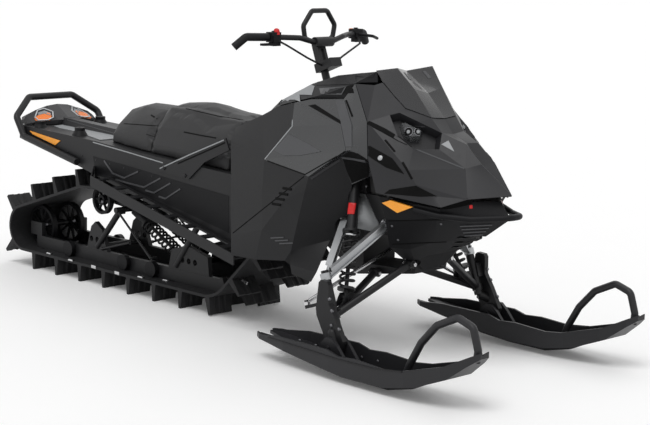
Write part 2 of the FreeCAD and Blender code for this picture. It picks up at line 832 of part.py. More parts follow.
TAIL_CORNERS_SHARES = (
    (-1.98, -14.75, -14.25, 7.08), (-1.80, -15.0, -14.15, 7.24), (-1.2, -15.2, -14.0, 7.45),
    (-0.6, -15.3, -13.75, 7.62), (0, -15.35, -13.65, 7.68), (0.6, -15.3, -13.75, 7.62),
    (1.2, -15.2, -14.0, 7.45), (1.80, -15.0, -14.15, 7.24), (1.98, -14.75, -14.25, 7.08),
)
TAIL_BASE_SHARE = 6.835
RIDGE_SHARES = ((-13.8, 0.42, 7.12), (-9.0, 0.34, 6.92))
TAIL_LAMP_SHARES = (
    (-1.60, 6.98), (-1.54, 7.14), (-0.92, 7.36), (-0.76, 7.32), (-0.78, 7.20), (-1.0, 7.02), (-1.52, 6.93),
)
DECK_SHARES = ((-13.5, 0.55), (-13.4, 1.1), (-12.7, 1.28), (-11.4, 1.28), (-8.8, 1.9), (-8.8, 0.48))
REAR_REFLECTOR_SHARES = ((-13.75, 6.62), (-11.35, 6.40), (-11.75, 6.16), (-13.5, 6.48))
BRACE_SHARES = ((-4.5, 5.9), (0.1, 7.72), (0.34, 7.25), (-1.2, 6.57), (-2.2, 5.74))
ANCHOR_SHARES = ((-13.57, 1.75), (-10.5, 1.75))


def deck_line(along, lift):
    """A point above the tunnel's top at the middle."""
    top = place((along, 0, tunnel_top(along)))
    return top + UP * lift


def tail_section(across, rear, front, high, push):
    """One section of the lamp bar: upright behind, sloping down to the front."""
    base = TAIL_BASE_SHARE
    crest = rear + (front - rear) * 0.4
    points = [
        place((rear, across, base)), place((front, across, base)),
        place((front, across, base + (high - base) * 0.25)),
        place((crest, across, high)), place((rear, across, base + (high - base) * 0.7)),
    ]
    return polygon([point + push for point in points])


def tail_housing():
    """The lamp bar across the tail with the ridge that runs forward from it, and its lamps."""
    still = Vector(0, 0, 0)
    lift = Vector(size.plate_wall, 0, size.plate_wall)
    body = Part.makeLoft([tail_section(*share, still) for share in TAIL_CORNERS_SHARES], True, True)
    proud = Part.makeLoft([tail_section(*share, lift) for share in TAIL_CORNERS_SHARES], True, True)
    ends = []
    for along, half, high in RIDGE_SHARES:
        low = tunnel_top(along)
        ends.append(polygon([
            place((along, -half, low)), place((along, -half * 0.6, high)),
            place((along, half * 0.6, high)), place((along, half, low)),
        ]))
    ridge = Part.makeLoft(ends, True, True)
    ridge.translate(UP * size.seat_gap)
    body = body.fuse(ridge).cut(piece_shape("tunnel")).cut(piece_shape("rear_hoop"))
    rear = TAIL_CORNERS_SHARES[3][1] + 0.7
    outline = [place((rear, across, high)) for across, high in TAIL_LAMP_SHARES]
    prism = Part.Face(polygon(outline)).extrude(Vector(2 * size.grid_long, 0, 0))
    lamp = main_solid(prism.common(proud))
    body = body.cut(prism).cut(mirrored(prism))
    keep("tail_housing", main_solid(body))
    keep("tail_lamps", both(lamp))


def deck_panels():
    """Thin light panels on the tunnel's top, beside the ridge."""
    wires = []
    for lift in (size.seat_gap, size.seat_gap + size.plate_wall):
        wires.append(polygon([
            deck_line(along, lift) - LEFT * (across * size.grid_wide) for along, across in DECK_SHARES
        ]))
    panel = Part.makeLoft(wires, True, True)
    panel = panel.cut(piece_shape("cargo_anchors")).cut(piece_shape("tail_housing"))
    keep("deck_panels", both(main_solid(panel)))


def cargo_anchors():
    """Four bosses for a rack or a fuel pack, each with an upright bore over a pocket for its nut."""
    solids = []
    for along, across in ANCHOR_SHARES:
        base = deck_line(along, size.seat_gap) - LEFT * (across * size.grid_wide)
        base.z = (deck_line(ANCHOR_SHARES[1][0], 0).z + deck_line(ANCHOR_SHARES[0][0], 0).z) / 2 + size.anchor_lift
        top = Part.makeCylinder(size.anchor_radius, size.anchor_height, base, UP)
        sunk = UP * (2 * size.anchor_height)
        foot = Part.makeCone(size.anchor_foot, size.anchor_radius, 2 * size.anchor_height, base - sunk, UP)
        boss = top.fuse(foot).cut(piece_shape("tunnel"))
        bore = Part.makeCylinder(size.anchor_bore, 3 * size.anchor_height, base - sunk, UP)
        pocket = Part.makeCylinder(size.anchor_nut, 1.5 * size.anchor_height, base - sunk, UP)
        boss = boss.cut(bore).cut(pocket)
        upper = [solid for solid in boss.Solids if solid.BoundBox.ZMax > base.z]
        solids.append(upper[0])
    keep("cargo_anchors", Part.makeCompound(solids + [mirrored(solid) for solid in solids]))


def flank_plates():
    """The side reflectors at the tail and the braces over the running boards."""
    gap = size.seat_gap
    wall = size.plate_wall
    hoop = piece_shape("rear_hoop")
    reflector = side_plate(REAR_REFLECTOR_SHARES, tunnel_half() + gap + wall, wall).cut(hoop)
    front = creased_form(FRONT_REFLECTOR_SHARES, FRONT_REFLECTOR_FACETS, size.reflector_depth, BODY_HEART_SHARES)
    front = main_solid(front.cut(piece_shape("belly_pan")))
    keep("side_reflectors", Part.makeCompound([
        main_solid(reflector), mirrored(main_solid(reflector)), front, mirrored(front),
    ]))
    thick = size.board_rail_height / 6
    brace = side_plate(BRACE_SHARES, tunnel_half() + gap + thick, thick)
    brace = brace.cut(piece_shape("side_panel_right")).cut(piece_shape("running_boards"))
    keep("foot_braces", both(main_solid(brace)))


FRONT_REFLECTOR_SHARES = {
    "rear_low": (9.40, -2.72, 6.30), "rear_top": (9.76, -2.66, 6.44), "front_top": (10.64, -2.42, 6.27),
    "front_low": (10.06, -2.58, 6.00),
}
FRONT_REFLECTOR_FACETS = (("rear_low", "rear_top", "front_low"), ("rear_top", "front_top", "front_low"))


SIDE_CORNER_SHARES = {
    "seat_low": (0.30, -1.90, 8.15), "seat_side": (1.91, -1.95, 8.80), "cowl_low": (2.86, -1.95, 9.25),
    "upper_top": (3.92, -2.05, 9.50), "upper_kink": (4.25, -2.50, 8.63), "upper_rear": (3.14, -2.90, 7.23),
    "upper_low": (5.86, -3.25, 6.96), "front_top": (6.05, -3.28, 6.93), "front_high": (5.95, -3.35, 6.40),
    "front_mid": (5.67, -3.42, 5.21), "front_low": (5.32, -3.42, 3.98), "lip_front": (4.95, -3.40, 3.50),
    "lip_mid": (3.27, -3.42, 3.29), "rear_foot": (1.79, -3.38, 3.24), "rear_low": (1.63, -3.25, 4.02),
    "rear_mid": (1.14, -2.85, 5.75), "rear_high": (0.45, -2.28, 7.64), "mid_high": (3.37, -3.20, 6.07),
    "mid_low": (3.68, -3.47, 4.54), "mid_front": (4.90, -3.42, 5.89),
    "arch_lip": (7.16, -2.62, 7.77), "arch_top": (7.28, -2.15, 6.66), "arch_mid": (6.87, -2.05, 5.00),
    "arch_low": (6.42, -2.40, 4.42), "arch_foot": (6.50, -3.20, 3.27), "lip_turn": (5.10, -3.25, 3.35),
    "under_front": (6.01, -3.00, 2.78), "under_rear": (5.06, -3.10, 2.95),
}
SIDE_FACETS = (
    ("rear_high", "seat_low", "seat_side", "upper_rear"), ("seat_side", "cowl_low", "upper_kink", "upper_rear"),
    ("cowl_low", "upper_top", "upper_kink"), ("rear_high", "upper_rear", "mid_high", "rear_mid"),
    ("upper_rear", "upper_low", "mid_front", "mid_high"), ("upper_low", "front_top", "front_high", "mid_front"),
    ("rear_mid", "mid_high", "mid_low", "rear_low"), ("mid_high", "mid_front", "mid_low"),
    ("mid_front", "front_high", "front_mid"), ("mid_front", "front_mid", "front_low", "mid_low"),
    ("mid_low", "front_low", "lip_front", "lip_mid"), ("rear_low", "mid_low", "lip_mid", "rear_foot"),
    ("front_top", "arch_lip", "arch_top", "front_high"), ("front_high", "arch_top", "arch_mid", "front_mid"),
    ("front_mid", "arch_mid", "arch_low", "front_low"), ("front_low", "arch_low", "arch_foot", "lip_turn"),
    ("front_low", "lip_turn", "lip_front"), ("lip_turn", "arch_foot", "under_front", "under_rear"),
)
UPPER_CORNER_SHARES = {
    "top_rear": (3.92, -2.06, 9.5), "rear_kink": (4.25, -2.51, 8.63), "rear_low": (3.14, -2.91, 7.23),
    "low_tip": (5.86, -3.26, 6.96), "front_tip": (6.05, -3.29, 6.93), "front_low": (7.55, -2.88, 8.06),
    "front_top": (6.87, -2.46, 8.96), "edge_mid": (4.82, -2.05, 9.72), "edge_front": (6.7, -2.12, 9.9),
    "pillar_low": (7.87, -2.88, 8.12), "pillar_mid": (7.45, -2.52, 8.86),
    "seam_top": (7.2, -2.04, 10.52), "seam_low": (8.3, -2.5, 9.21), "seam_foot": (8.72, -2.85, 7.86),
    "lip_rear": (7.16, -2.63, 7.77), "lip_front": (8.52, -2.66, 7.72), "roof_rear": (7.28, -2.16, 6.68),
    "roof_front": (8.55, -1.95, 7.3),
}
UPPER_FACETS = (
    ("top_rear", "front_top", "rear_kink"), ("rear_kink", "front_top", "front_low", "rear_low"),
    ("rear_low", "front_low", "low_tip"), ("low_tip", "front_low", "front_tip"),
    ("top_rear", "edge_mid", "edge_front", "front_top"),
    ("edge_front", "seam_top", "pillar_mid", "front_top"), ("front_top", "pillar_mid", "pillar_low", "front_low"),
    ("seam_top", "seam_low", "pillar_mid"), ("pillar_mid", "seam_low", "seam_foot", "pillar_low"),
    ("front_tip", "front_low", "lip_rear"), ("front_low", "pillar_low", "lip_rear"),
    ("pillar_low", "seam_foot", "lip_front", "lip_rear"), ("lip_rear", "lip_front", "roof_front", "roof_rear"),
)
BODY_HEART_SHARES = (6.0, 0, 6.0)


def piece_shape(label):
    """The shape of a piece made earlier."""
    return next(piece.Shape for piece in made if piece.Label == label)


def side_panels():
    """The lower flank with its arch, and the glossy panel over it up to the hood's seam."""
    hood_shape = piece_shape("hood")
    lower = creased_form(SIDE_CORNER_SHARES, SIDE_FACETS, size.skin_wall, BODY_HEART_SHARES)
    lower = lower.cut(hood_shape).cut(piece_shape("running_boards"))
    lower = lower.cut(bar(*front_shock_line(), size.shock_radius + size.plate_wall))
    lower = main_solid(lower.cut(bar(boss_centre(UPPER_REAR_SHARES), king_line()[0], size.beam_depth)))
    upper = creased_form(UPPER_CORNER_SHARES, UPPER_FACETS, size.skin_wall, BODY_HEART_SHARES)
    upper = main_solid(upper.cut(lower).cut(hood_shape))
    keep("side_panel_right", lower)
    keep("side_panel_left", mirrored(lower))
    keep("upper_panel_right", upper)
    keep("upper_panel_left", mirrored(upper))


CONSOLE_CORNER_SHARES = {
    "dip_mid": (0.2, 0, 8.46), "dip_side": (0.25, -1.2, 8.32), "seat_side": (1.9, -1.6, 8.86),
    "rise_mid": (1.94, 0, 9.36), "patch_rear": (2.3, -1.3, 9.39), "patch_low": (2.86, -1.72, 9.32),
    "crown_mid": (3.6, 0, 10.3), "patch_top": (3.99, -1.15, 10.22), "patch_front": (4.66, -1.92, 9.76),
    "strip_mid": (5.6, -1.35, 10.68), "spine_mid": (5.6, 0, 10.72), "spine_front": (7.95, 0, 10.95),
    "strip_front": (7.88, -1.58, 11.01), "nib": (8.05, -1.71, 10.63), "flank_mid": (5.6, -1.98, 10),
    "flank_front": (7.2, -1.99, 10.56),
    "sill_front": (6.60, -1.95, 9.80),
}
CONSOLE_FACETS = (
    ("dip_mid", "dip_side", "seat_side", "rise_mid"), ("seat_side", "patch_low", "patch_rear"),
    ("seat_side", "patch_rear", "rise_mid"), ("rise_mid", "patch_rear", "patch_top", "crown_mid"),
    ("patch_rear", "patch_low", "patch_front", "patch_top"),
    ("crown_mid", "patch_top", "strip_mid", "spine_mid"),
    ("spine_mid", "strip_mid", "strip_front", "spine_front"), ("patch_top", "patch_front", "flank_mid", "strip_mid"),
    ("strip_mid", "flank_mid", "flank_front", "strip_front"), ("strip_front", "flank_front", "nib"),
    ("patch_front", "sill_front", "flank_mid"), ("sill_front", "flank_front", "flank_mid"),
)
POST_FOOT_SHARES = (5.321, 0, 5.964)
POST_HEAD_SHARES = (3.13, 0, 11.53)


def post_line():
    """The steering post's foot, head and direction."""
    foot = place(POST_FOOT_SHARES)
    head = place(POST_HEAD_SHARES)
    return foot, head, (head - foot).normalize()


def console():
    """The cover between the saddle and the hood, with room for the post."""
    skin = creased_form(CONSOLE_CORNER_SHARES, CONSOLE_FACETS, size.skin_wall, BODY_HEART_SHARES, True)
    foot, head, up = post_line()
    hole = Part.makeCylinder(size.post_radius * 2, (head - foot).Length, foot, up)
    for label in ("hood", "upper_panel_right", "upper_panel_left", "side_panel_right", "side_panel_left"):
        skin = skin.cut(piece_shape(label))
    keep("console", main_solid(skin.cut(hole)))


HOOD_CORNER_SHARES = {
    "seam_top": (7.24, -2.05, 10.52), "band_rear": (8.01, -1.83, 10.52),
    "band_mid": (8.5, -1.71, 10.02), "band_corner": (9.05, -1.52, 9.56),
    "pocket_rear": (8.83, -1.82, 9.47), "pocket_heel": (9.46, -2.03, 8.75),
    "pocket_low": (10.07, -1.82, 8.33), "pocket_front": (10.59, -0.95, 8.3),
    "brow_side": (9.69, -1.16, 9.26), "brow_corner": (10.4, -0.62, 8.87), "brow_mid": (10.41, 0, 8.79),
    "shield_side": (8.19, -1.58, 10.62), "shield_low": (8.72, -1.44, 10.1),
    "shield_corner": (9.15, -1.31, 9.7), "shield_front": (9.92, -0.69, 9.38),
    "shield_mid": (9.96, 0, 9.32), "seam_low": (8.34, -2.5, 9.21), "seam_foot": (8.76, -2.85, 7.86),
    "kink": (10.38, -2.41, 7.62), "insert_top": (10.74, -2.35, 7.12),
    "insert_front": (11.35, -1.9, 6.72), "crease_end": (11.73, -0.75, 7.69),
    "facet_low": (12.19, -1.12, 6.64), "low_corner": (11.63, -1.95, 6.35),
    "low_mid": (10.16, -2.62, 6.57), "low_rear": (9.28, -2.92, 6.68), "nose_side": (11.35, -0.34, 8.54),
    "nose_top": (11.12, 0, 8.52), "ridge_side": (12.16, -0.39, 7.88), "ridge_mid": (11.95, 0, 7.82),
    "tip": (13.36, 0, 6.82),
}
HOOD_FACETS = (
    ("seam_top", "band_rear", "seam_low"), ("band_rear", "shield_side", "shield_low", "band_mid"),
    ("band_mid", "shield_low", "shield_corner", "band_corner"),
    ("band_corner", "shield_corner", "shield_front", "brow_side"),
    ("brow_side", "shield_front", "brow_corner"), ("band_rear", "band_mid", "pocket_rear", "seam_low"),
    ("band_mid", "band_corner", "pocket_rear"), ("seam_low", "pocket_rear", "pocket_heel"),
    ("seam_low", "pocket_heel", "pocket_low", "kink"), ("seam_low", "kink", "seam_foot"),
    ("seam_foot", "kink", "insert_top", "low_mid"), ("seam_foot", "low_mid", "low_rear"),
    ("pocket_low", "pocket_front", "crease_end", "kink"), ("kink", "crease_end", "facet_low", "insert_top"),
    ("insert_top", "facet_low", "insert_front"), ("insert_top", "insert_front", "low_corner", "low_mid"),
    ("insert_front", "facet_low", "low_corner"), ("pocket_front", "brow_corner", "nose_side", "crease_end"),
    ("shield_front", "shield_mid", "brow_mid", "brow_corner"),
    ("brow_corner", "brow_mid", "nose_top", "nose_side"),
    ("nose_side", "nose_top", "ridge_mid", "ridge_side"), ("nose_side", "ridge_side", "crease_end"),
    ("crease_end", "ridge_side", "tip", "facet_low"), ("ridge_side", "ridge_mid", "tip"),
)
POCKET_RING = (
    "pocket_rear", "band_corner", "brow_side", "brow_corner", "pocket_front", "pocket_low", "pocket_heel",
)
POCKET_FLOOR_SHARE = 0.86
LENS_SHARE = 0.5


def pocket_frame():
    """The middle of the lamp's pocket, its way in, and its corners sunk onto a flat floor."""
    ring = [place(HOOD_CORNER_SHARES[name]) for name in POCKET_RING]
    middle = ring[0]
    for point in ring[1:]:
        middle = middle + point
    middle = middle * (1 / len(ring))
    out = face_normal([point - middle for point in ring])
    if out.dot(middle - place(BODY_HEART_SHARES)) < 0:
        out = out * -1
    floor_middle = middle - out * size.pocket_depth
    floor = []
    for point in ring:
        flat = point - out * (point - floor_middle).dot(out)
        floor.append(floor_middle + (flat - floor_middle) * POCKET_FLOOR_SHARE)
    return floor_middle, out, floor


def full_rows(rows):
    """Right-hand rows continued over the middle to the left."""
    result = []
    for line in rows:
        left = [(along, -across, high) for along, across, high in reversed(line[:-1])]
        result.append(list(line) + left)
    return result


def hood():
    """The hood in one piece, with a sunk pocket for each headlamp."""
    middle, out, floor = pocket_frame()
    extra = {"floor_middle": middle}
    facets = list(HOOD_FACETS)
    count = len(POCKET_RING)
    for number, name in enumerate(POCKET_RING):
        extra["floor_%d" % number] = floor[number]
    for number, name in enumerate(POCKET_RING):
        after = (number + 1) % count
        facets.append((name, POCKET_RING[after], "floor_%d" % after, "floor_%d" % number))
        facets.append(("floor_%d" % number, "floor_%d" % after, "floor_middle"))
    skin = creased_form(HOOD_CORNER_SHARES, facets, size.skin_wall, BODY_HEART_SHARES, True, extra)
    keep("hood", skin)


def headlights():
    """A lens block on each pocket's floor."""
    middle, out, floor = pocket_frame()
    lift = out * size.seat_gap
    shift = (floor[0] - middle) * (1 - LENS_SHARE) * 0.3
    outline = [middle + (point - middle) * LENS_SHARE + lift + shift for point in floor]
    front = [middle + (point - middle) * LENS_SHARE * 0.85 + out * size.lens_depth + shift for point in floor]
    lens = Part.makeLoft([polygon(outline), polygon(front)], True, True)
    keep("headlights", both(lens))


SHIELD_CORNER_SHARES = {
    "top_side": (7.85, -1.59, 11.05), "top_peak": (8.38, -0.99, 11.16), "top_mid": (7.95, 0, 10.99),
    "side_mid": (8.18, -1.56, 10.66), "side_low": (8.71, -1.42, 10.13), "corner": (9.14, -1.29, 9.73),
    "low_side": (9.93, -0.69, 9.41), "low_mid": (9.97, 0, 9.35), "rise_side": (9.1, -0.79, 10.41),
    "rise_mid": (9.1, 0, 10.22),
}
SHIELD_FACETS = (
    ("top_side", "top_peak", "rise_side", "side_mid"), ("side_mid", "rise_side", "side_low"),
    ("side_low", "rise_side", "low_side", "corner"), ("top_peak", "top_mid", "rise_mid", "rise_side"),
    ("rise_side", "rise_mid", "low_mid", "low_side"),
)


def windshield():
    """The smoked shield, seated on the hood and the console."""
    skin = creased_form(SHIELD_CORNER_SHARES, SHIELD_FACETS, size.skin_wall, BODY_HEART_SHARES, True)
    keep("windshield", main_solid(skin.cut(piece_shape("hood")).cut(piece_shape("console"))))


BUMPER_SHARES = (
    (10.55, -2.22, 6.15), (11.4, -1.85, 6.0), (12.45, -1.2, 5.94), (13.55, -0.3, 6.05),
    (13.55, 0.3, 6.05), (12.45, 1.2, 5.94), (11.4, 1.85, 6.0), (10.55, 2.22, 6.15),
)
BELLY_SHARES = (
    ((9.25, -2.70, 6.52), (10.1, -2.42, 6.42), (11.5, -1.82, 6.25), (12.0, -1.0, 6.5), (12.85, 0, 6.55)),
    ((9.40, -2.50, 5.68), (10.3, -2.15, 5.70), (11.3, -1.75, 5.80), (12.4, -0.95, 5.84), (13.35, 0, 5.95)),
    ((9.20, -2.0, 4.50), (9.9, -1.6, 4.50), (10.7, -1.2, 4.85), (11.4, -0.6, 4.95), (12.1, 0, 5.07)),
    ((9.25, -1.3, 4.0), (9.7, -1.1, 3.95), (10.1, -0.8, 4.20), (10.5, -0.4, 4.30), (10.85, 0, 4.45)),
    ((9.3, -0.6, 3.55), (9.6, -0.5, 3.5), (9.8, -0.35, 3.55), (10.0, -0.2, 3.65), (10.2, 0, 3.75)),
)


GRILLE_SHARES = ((10.0, 4.55), (12.2, 4.55), (12.2, 4.66), (10.0, 4.66))
GRILLE_COUNT = 3
GRILLE_RISE_SHARE = 0.24


def nose():
    """The belly pan with its slots, and the bumper tube round its front."""
    points = [place(point) for point in BUMPER_SHARES]
    pan = creased_panel(full_rows(BELLY_SHARES), size.skin_wall)
    pan = pan.cut(piece_shape("hood")).cut(piece_shape("bulkhead"))
    top, low, axis = king_line()
    for foot in (LOWER_FRONT_SHARES, LOWER_REAR_SHARES):
        inner = boss_centre(foot)
        reach = Vector(size.boss_length, 0, 0)
        opening = bar(inner, low, 2 * size.arm_tube_radius)
        opening = opening.fuse(bar(inner - reach, inner + reach, 1.4 * size.boss_radius))
        pan = pan.cut(opening).cut(mirrored(opening))
    for number in range(GRILLE_COUNT):
        slot = side_slab(GRILLE_SHARES, (0.45 + 0.15 * number) * size.grid_wide)
        slot.translate(UP * (GRILLE_RISE_SHARE * number * size.grid_high))
        pan = pan.cut(slot)
    keep("belly_pan", main_solid(pan))
    pan = piece_shape("belly_pan")
    strip = tube(points, size.bumper_tube_radius, 4 * size.bumper_tube_radius)
    keep("nose_bumper", main_solid(strip.cut(pan)))


CORE_SHARES = (
    (3.7, 4.3), (6.5, 2.92), (9.5, 3.4), (9.7, 4.2), (9.3, 5.0), (9.0, 5.8), (8.9, 6.3), (6.4, 6.3),
    (5.9, 5.9), (4.6, 5.9), (3.7, 5.2),
)
STEER_SLOT_SHARES = ((6.8, 3.40), (9.35, 3.52), (9.35, 4.84), (6.8, 4.84))
TOWER_SHARES = ((6.4, 4.85), (9.2, 4.85), (9.0, 5.8), (8.9, 6.3), (6.4, 6.3))
CORE_HALF_SHARE = 0.9
TOWER_HALF_SHARE = 1.6
ENGINE_SHARES = ((6.4, -1.35, 6.303), (8.8, 1.35, 8.7))


BRACKET_SHARES = ((6.8, 6.0), (7.6, 6.0), (7.42, 7.02), (6.92, 7.02))
GUARD_SHARES = ((7.13, 4.9), (8.5, 4.9), (8.40, 5.02), (7.50, 6.28), (7.19, 6.29))
FRONT_SHOCK_TOP_SHARES = (7.07, 6.86)
FRONT_SHOCK_LOW_SHARES = (8.33, -3.42, 2.62)


def front_shock_line():
    """The two eyes of the right front coil-over."""
    along, high = FRONT_SHOCK_TOP_SHARES
    top = place((along, -TOWER_HALF_SHARE, high)) - LEFT * (size.seat_gap + size.eye_radius)
    return top, place(FRONT_SHOCK_LOW_SHARES)


def clevis(centre, outline, hinge):
    """Two ears and a bolt head each side of an eye whose bolt runs along hinge."""
    reach = size.eye_width / 2 + size.seat_gap
    ears = []
    for side in (-1, 1):
        inner = centre + hinge * (side * reach)
        wall = hinge * (side * size.plate_wall)
        ears.append(Part.Face(polygon([inner + corner for corner in outline])).extrude(wall))
        ears.append(Part.makeCylinder(size.shaft_radius, 3 * size.plate_wall, inner, hinge * side))
    return ears


def bulkhead():
    """The forged core with the steering slot, the tower for the upper arms and the shock brackets."""
    core = side_slab(CORE_SHARES, CORE_HALF_SHARE * size.grid_wide)
    tower = side_slab(TOWER_SHARES, TOWER_HALF_SHARE * size.grid_wide)
    slot = side_slab(STEER_SLOT_SHARES, size.grid_wide)
    top, low, axis = king_line()
    deep = size.pivot_length + size.overrun
    bore = Part.makeCylinder(size.rod_radius + size.run_gap, deep, pitman_centre(), axis)
    face = TOWER_HALF_SHARE * size.grid_wide
    deep = face + ENGINE_SHARES[0][1] * size.grid_wide - size.seat_gap
    bracket = side_plate(BRACKET_SHARES, face, deep)
    mount = front_shock_line()[0]
    reach = size.eye_radius * 1.2
    inner = LEFT * (mount.distanceToPlane(Vector(0, -face, 0), LEFT) * -1 + size.plate_wall)
    ear = (
        inner + UP * (1.6 * reach), inner - UP * (1.6 * reach), UP * -reach - LEFT * (reach * 0.4),
        UP * (reach * -0.4) - LEFT * reach, UP * (reach * 0.4) - LEFT * reach, UP * reach - LEFT * (reach * 0.4),
    )
    ears = clevis(mount, ear, Vector(1, 0, 0))
    ears = [bracket] + ears + [mirrored(form) for form in [bracket] + ears]
    keep("bulkhead", core.multiFuse([tower] + ears).cut(slot).cut(bore))
    guard = side_plate(GUARD_SHARES, face + size.seat_gap + size.plate_wall, size.plate_wall)
    keep("bulkhead_plates", both(guard))
    low, high = [place(corner) for corner in ENGINE_SHARES]
    engine = doc.addObject("Part::Box", "engine_block")
    engine.Label = "engine_block"
    engine.setExpression("Length", "sizes.grid_long * %s" % (ENGINE_SHARES[1][0] - ENGINE_SHARES[0][0]))
    engine.setExpression("Width", "sizes.grid_wide * %s" % (ENGINE_SHARES[1][1] - ENGINE_SHARES[0][1]))
    engine.setExpression("Height", "sizes.grid_high * %s" % (ENGINE_SHARES[1][2] - ENGINE_SHARES[0][2]))
    engine.Placement = Placement(low, Rotation())
    doc.recompute()
    made.append(engine)


KING_TOP_SHARES = (7.95, -4.10, 3.45)
KING_LOW_SHARES = (8.45, -4.10, 2.05)
UPPER_FRONT_SHARES = (8.85, -1.6, 5.35)
UPPER_REAR_SHARES = (6.65, -1.6, 5.3)
LOWER_FRONT_SHARES = (9.4, -0.9, 3.8)
LOWER_REAR_SHARES = (7.6, -0.9, 3.18)
SKI_BOLT_SHARES = (9.0, -4.57, 1.05)
STEER_STATION_SHARE = 0.33
STEER_LEAN_SHARE = 0.20
PITMAN_SHARES = (8.86, 0, 4.64)


FRAME_TUBES_SHARES = (
    ((6.6, -1.5, 6.31), (6.4, -1.5, 9.0), (5.7, -1.5, 10.9)),
    ((8.98, -1.2, 5.5), (10.6, -1.2, 5.9), (14.0, -0.9, 6.2)),
    ((8.6, -1.48, 6.31), (9.3, -1.48, 7.6), (9.5, -1.48, 10.5)),
)
STAY_SHARES = ((2.4, -3.8, 4.6), (2.4, -3.6, 5.6))


def over_frame(panels):
    """The tube frame over the engine that carries the console, the hood and the nose."""
    tower = side_slab(TOWER_SHARES, TOWER_HALF_SHARE * size.grid_wide)
    engine = piece_shape("engine_block")
    solids = []
    for run in FRAME_TUBES_SHARES:
        start, knee, end = [place(point) for point in run]
        solid = bar(start, knee, size.frame_tube_radius).fuse(bar(knee, end, size.frame_tube_radius))
        solid = solid.fuse(Part.makeSphere(size.frame_tube_radius, knee))
        solids.append(solid)
    for share in STAY_SHARES:
        end = place(share)
        solids.append(bar(Vector(end.x, -tunnel_half(), end.z), end, size.frame_tube_radius))
    kept = []
    for solid in solids:
        body = solid.cut(tower).cut(engine)
        for panel in panels:
            body = body.cut(panel)
        first = min(body.Solids, key=lambda piece: piece.CenterOfMass.sub(place((6.0, 0, 5.5))).Length)
        kept.append(first)
    keep("over_frame", Part.makeCompound(kept + [mirrored(solid) for solid in kept]))


def king_line():
    """The right kingpin's upper and lower end, and its direction."""
    top = place(KING_TOP_SHARES)
    low = place(KING_LOW_SHARES)
    return top, low, (top - low).normalize()


def eye(centre, axis):
    """The ring at an arm's outer end, on the kingpin line."""
    base = centre - axis * (size.ball_eye_height / 2)
    ring = Part.makeCylinder(size.ball_eye_radius, size.ball_eye_height, base, axis)
    return ring


def boss_centre(share):
    """Where an arm's inner sleeve lies, against the side of what carries it."""
    return place(share) - LEFT * (size.boss_radius + size.seat_gap)


def arm(front, rear, centre, axis, forged):
    """An A-shaped arm: two beams or tubes from the sleeves at the frame to the ring of the kingpin."""
    ring = eye(centre, axis)
    solids = []
    sleeve = Vector(size.boss_length, 0, 0)
    for share in (front, rear):
        start = boss_centre(share)
        solids.append(Part.makeCylinder(size.boss_radius, size.boss_length, start - sleeve / 2, sleeve))
        if forged:
            solids.append(beam(start, centre, size.beam_depth, size.beam_width, size.beam_web))
        else:
            solids.append(bar(start, centre, size.arm_tube_radius))
    body = ring.multiFuse(solids)
    for share in (front, rear):
        start = boss_centre(share)
        body = body.cut(Part.makeCylinder(size.shaft_radius, 2 * size.boss_length, start - sleeve, sleeve))
    start = centre - axis * (2 * size.ball_eye_height)
    bore = Part.makeCylinder(size.kingpin_radius + size.run_gap, size.ball_eye_height * 4, start, axis)
    room = size.ball_eye_radius * 1.3
    trim = Part.makeCylinder(room, size.overrun * 2, centre + axis * (size.ball_eye_height / 2), axis)
    trim_low = Part.makeCylinder(room, size.overrun * 2, centre - axis * (size.ball_eye_height / 2), axis * -1)
    return body.cut(bore).cut(trim).cut(trim_low)


EAR_SHARES = ((0.50, 0.12), (0.16, 0.18), (-0.16, 0.18), (-0.42, -0.32), (0, -0.3), (0.5, -0.04))


def arms():
    """The upper and lower arms, the bolts in their sleeves, and the front coil-overs between them."""
    top, low, axis = king_line()
    gap = size.seat_gap / size.grid_wide
    tower = side_slab(TOWER_SHARES, (TOWER_HALF_SHARE + gap) * size.grid_wide)
    core = side_slab(CORE_SHARES, (CORE_HALF_SHARE + gap) * size.grid_wide)
    plates = piece_shape("bulkhead_plates")
    upper = arm(UPPER_FRONT_SHARES, UPPER_REAR_SHARES, top, axis, True)
    keep("upper_arms", both(main_solid(upper.cut(tower).cut(plates))))
    lower = arm(LOWER_FRONT_SHARES, LOWER_REAR_SHARES, low, axis, False).cut(core)
    head, foot = front_shock_line()
    long = Vector(1, 0, 0)
    outline = [LEFT * (across * size.grid_wide) + UP * (high * size.grid_high) for across, high in EAR_SHARES]
    room = Part.makeCylinder(
        size.eye_radius + size.seat_gap, size.eye_width + 2 * size.seat_gap,
        foot - long * (size.eye_width / 2 + size.seat_gap), long,
    )
    shock, spring = damper(head, foot, 0.46, long)
    lower = lower.multiFuse(clevis(foot, outline, long)).cut(room).cut(shock)
    keep("lower_arms", both(main_solid(lower)))
    bolts = []
    for share in (UPPER_FRONT_SHARES, UPPER_REAR_SHARES, LOWER_FRONT_SHARES, LOWER_REAR_SHARES):
        start = boss_centre(share)
        reach = long * (size.boss_length / 2 + size.plate_wall * 3)
        bolts.append(bar(start - reach, start + reach, size.shaft_radius - size.seat_gap))
    keep("arm_bolts", Part.makeCompound(bolts + [mirrored(bolt) for bolt in bolts]))
    keep("front_shocks", both(shock.cut(piece_shape("bulkhead"))))
    keep("front_springs", both(spring))


def steer_offset():
    """From a kingpin's line to the outer ball, on the right: back and outboard."""
    top, low, axis = king_line()
    back = LEFT.cross(axis).normalize()
    if back.x > 0:
        back = back * -1
    side = size.steer_arm_length * STEER_LEAN_SHARE
    return back * size.steer_arm_length - LEFT * side


def outer_ball():
    """The right tie rod's outer end."""
    top, low, axis = king_line()
    return low + (top - low) * STEER_STATION_SHARE + steer_offset()


def pitman_centre():
    """The pivot of the steering plate."""
    return place(PITMAN_SHARES)


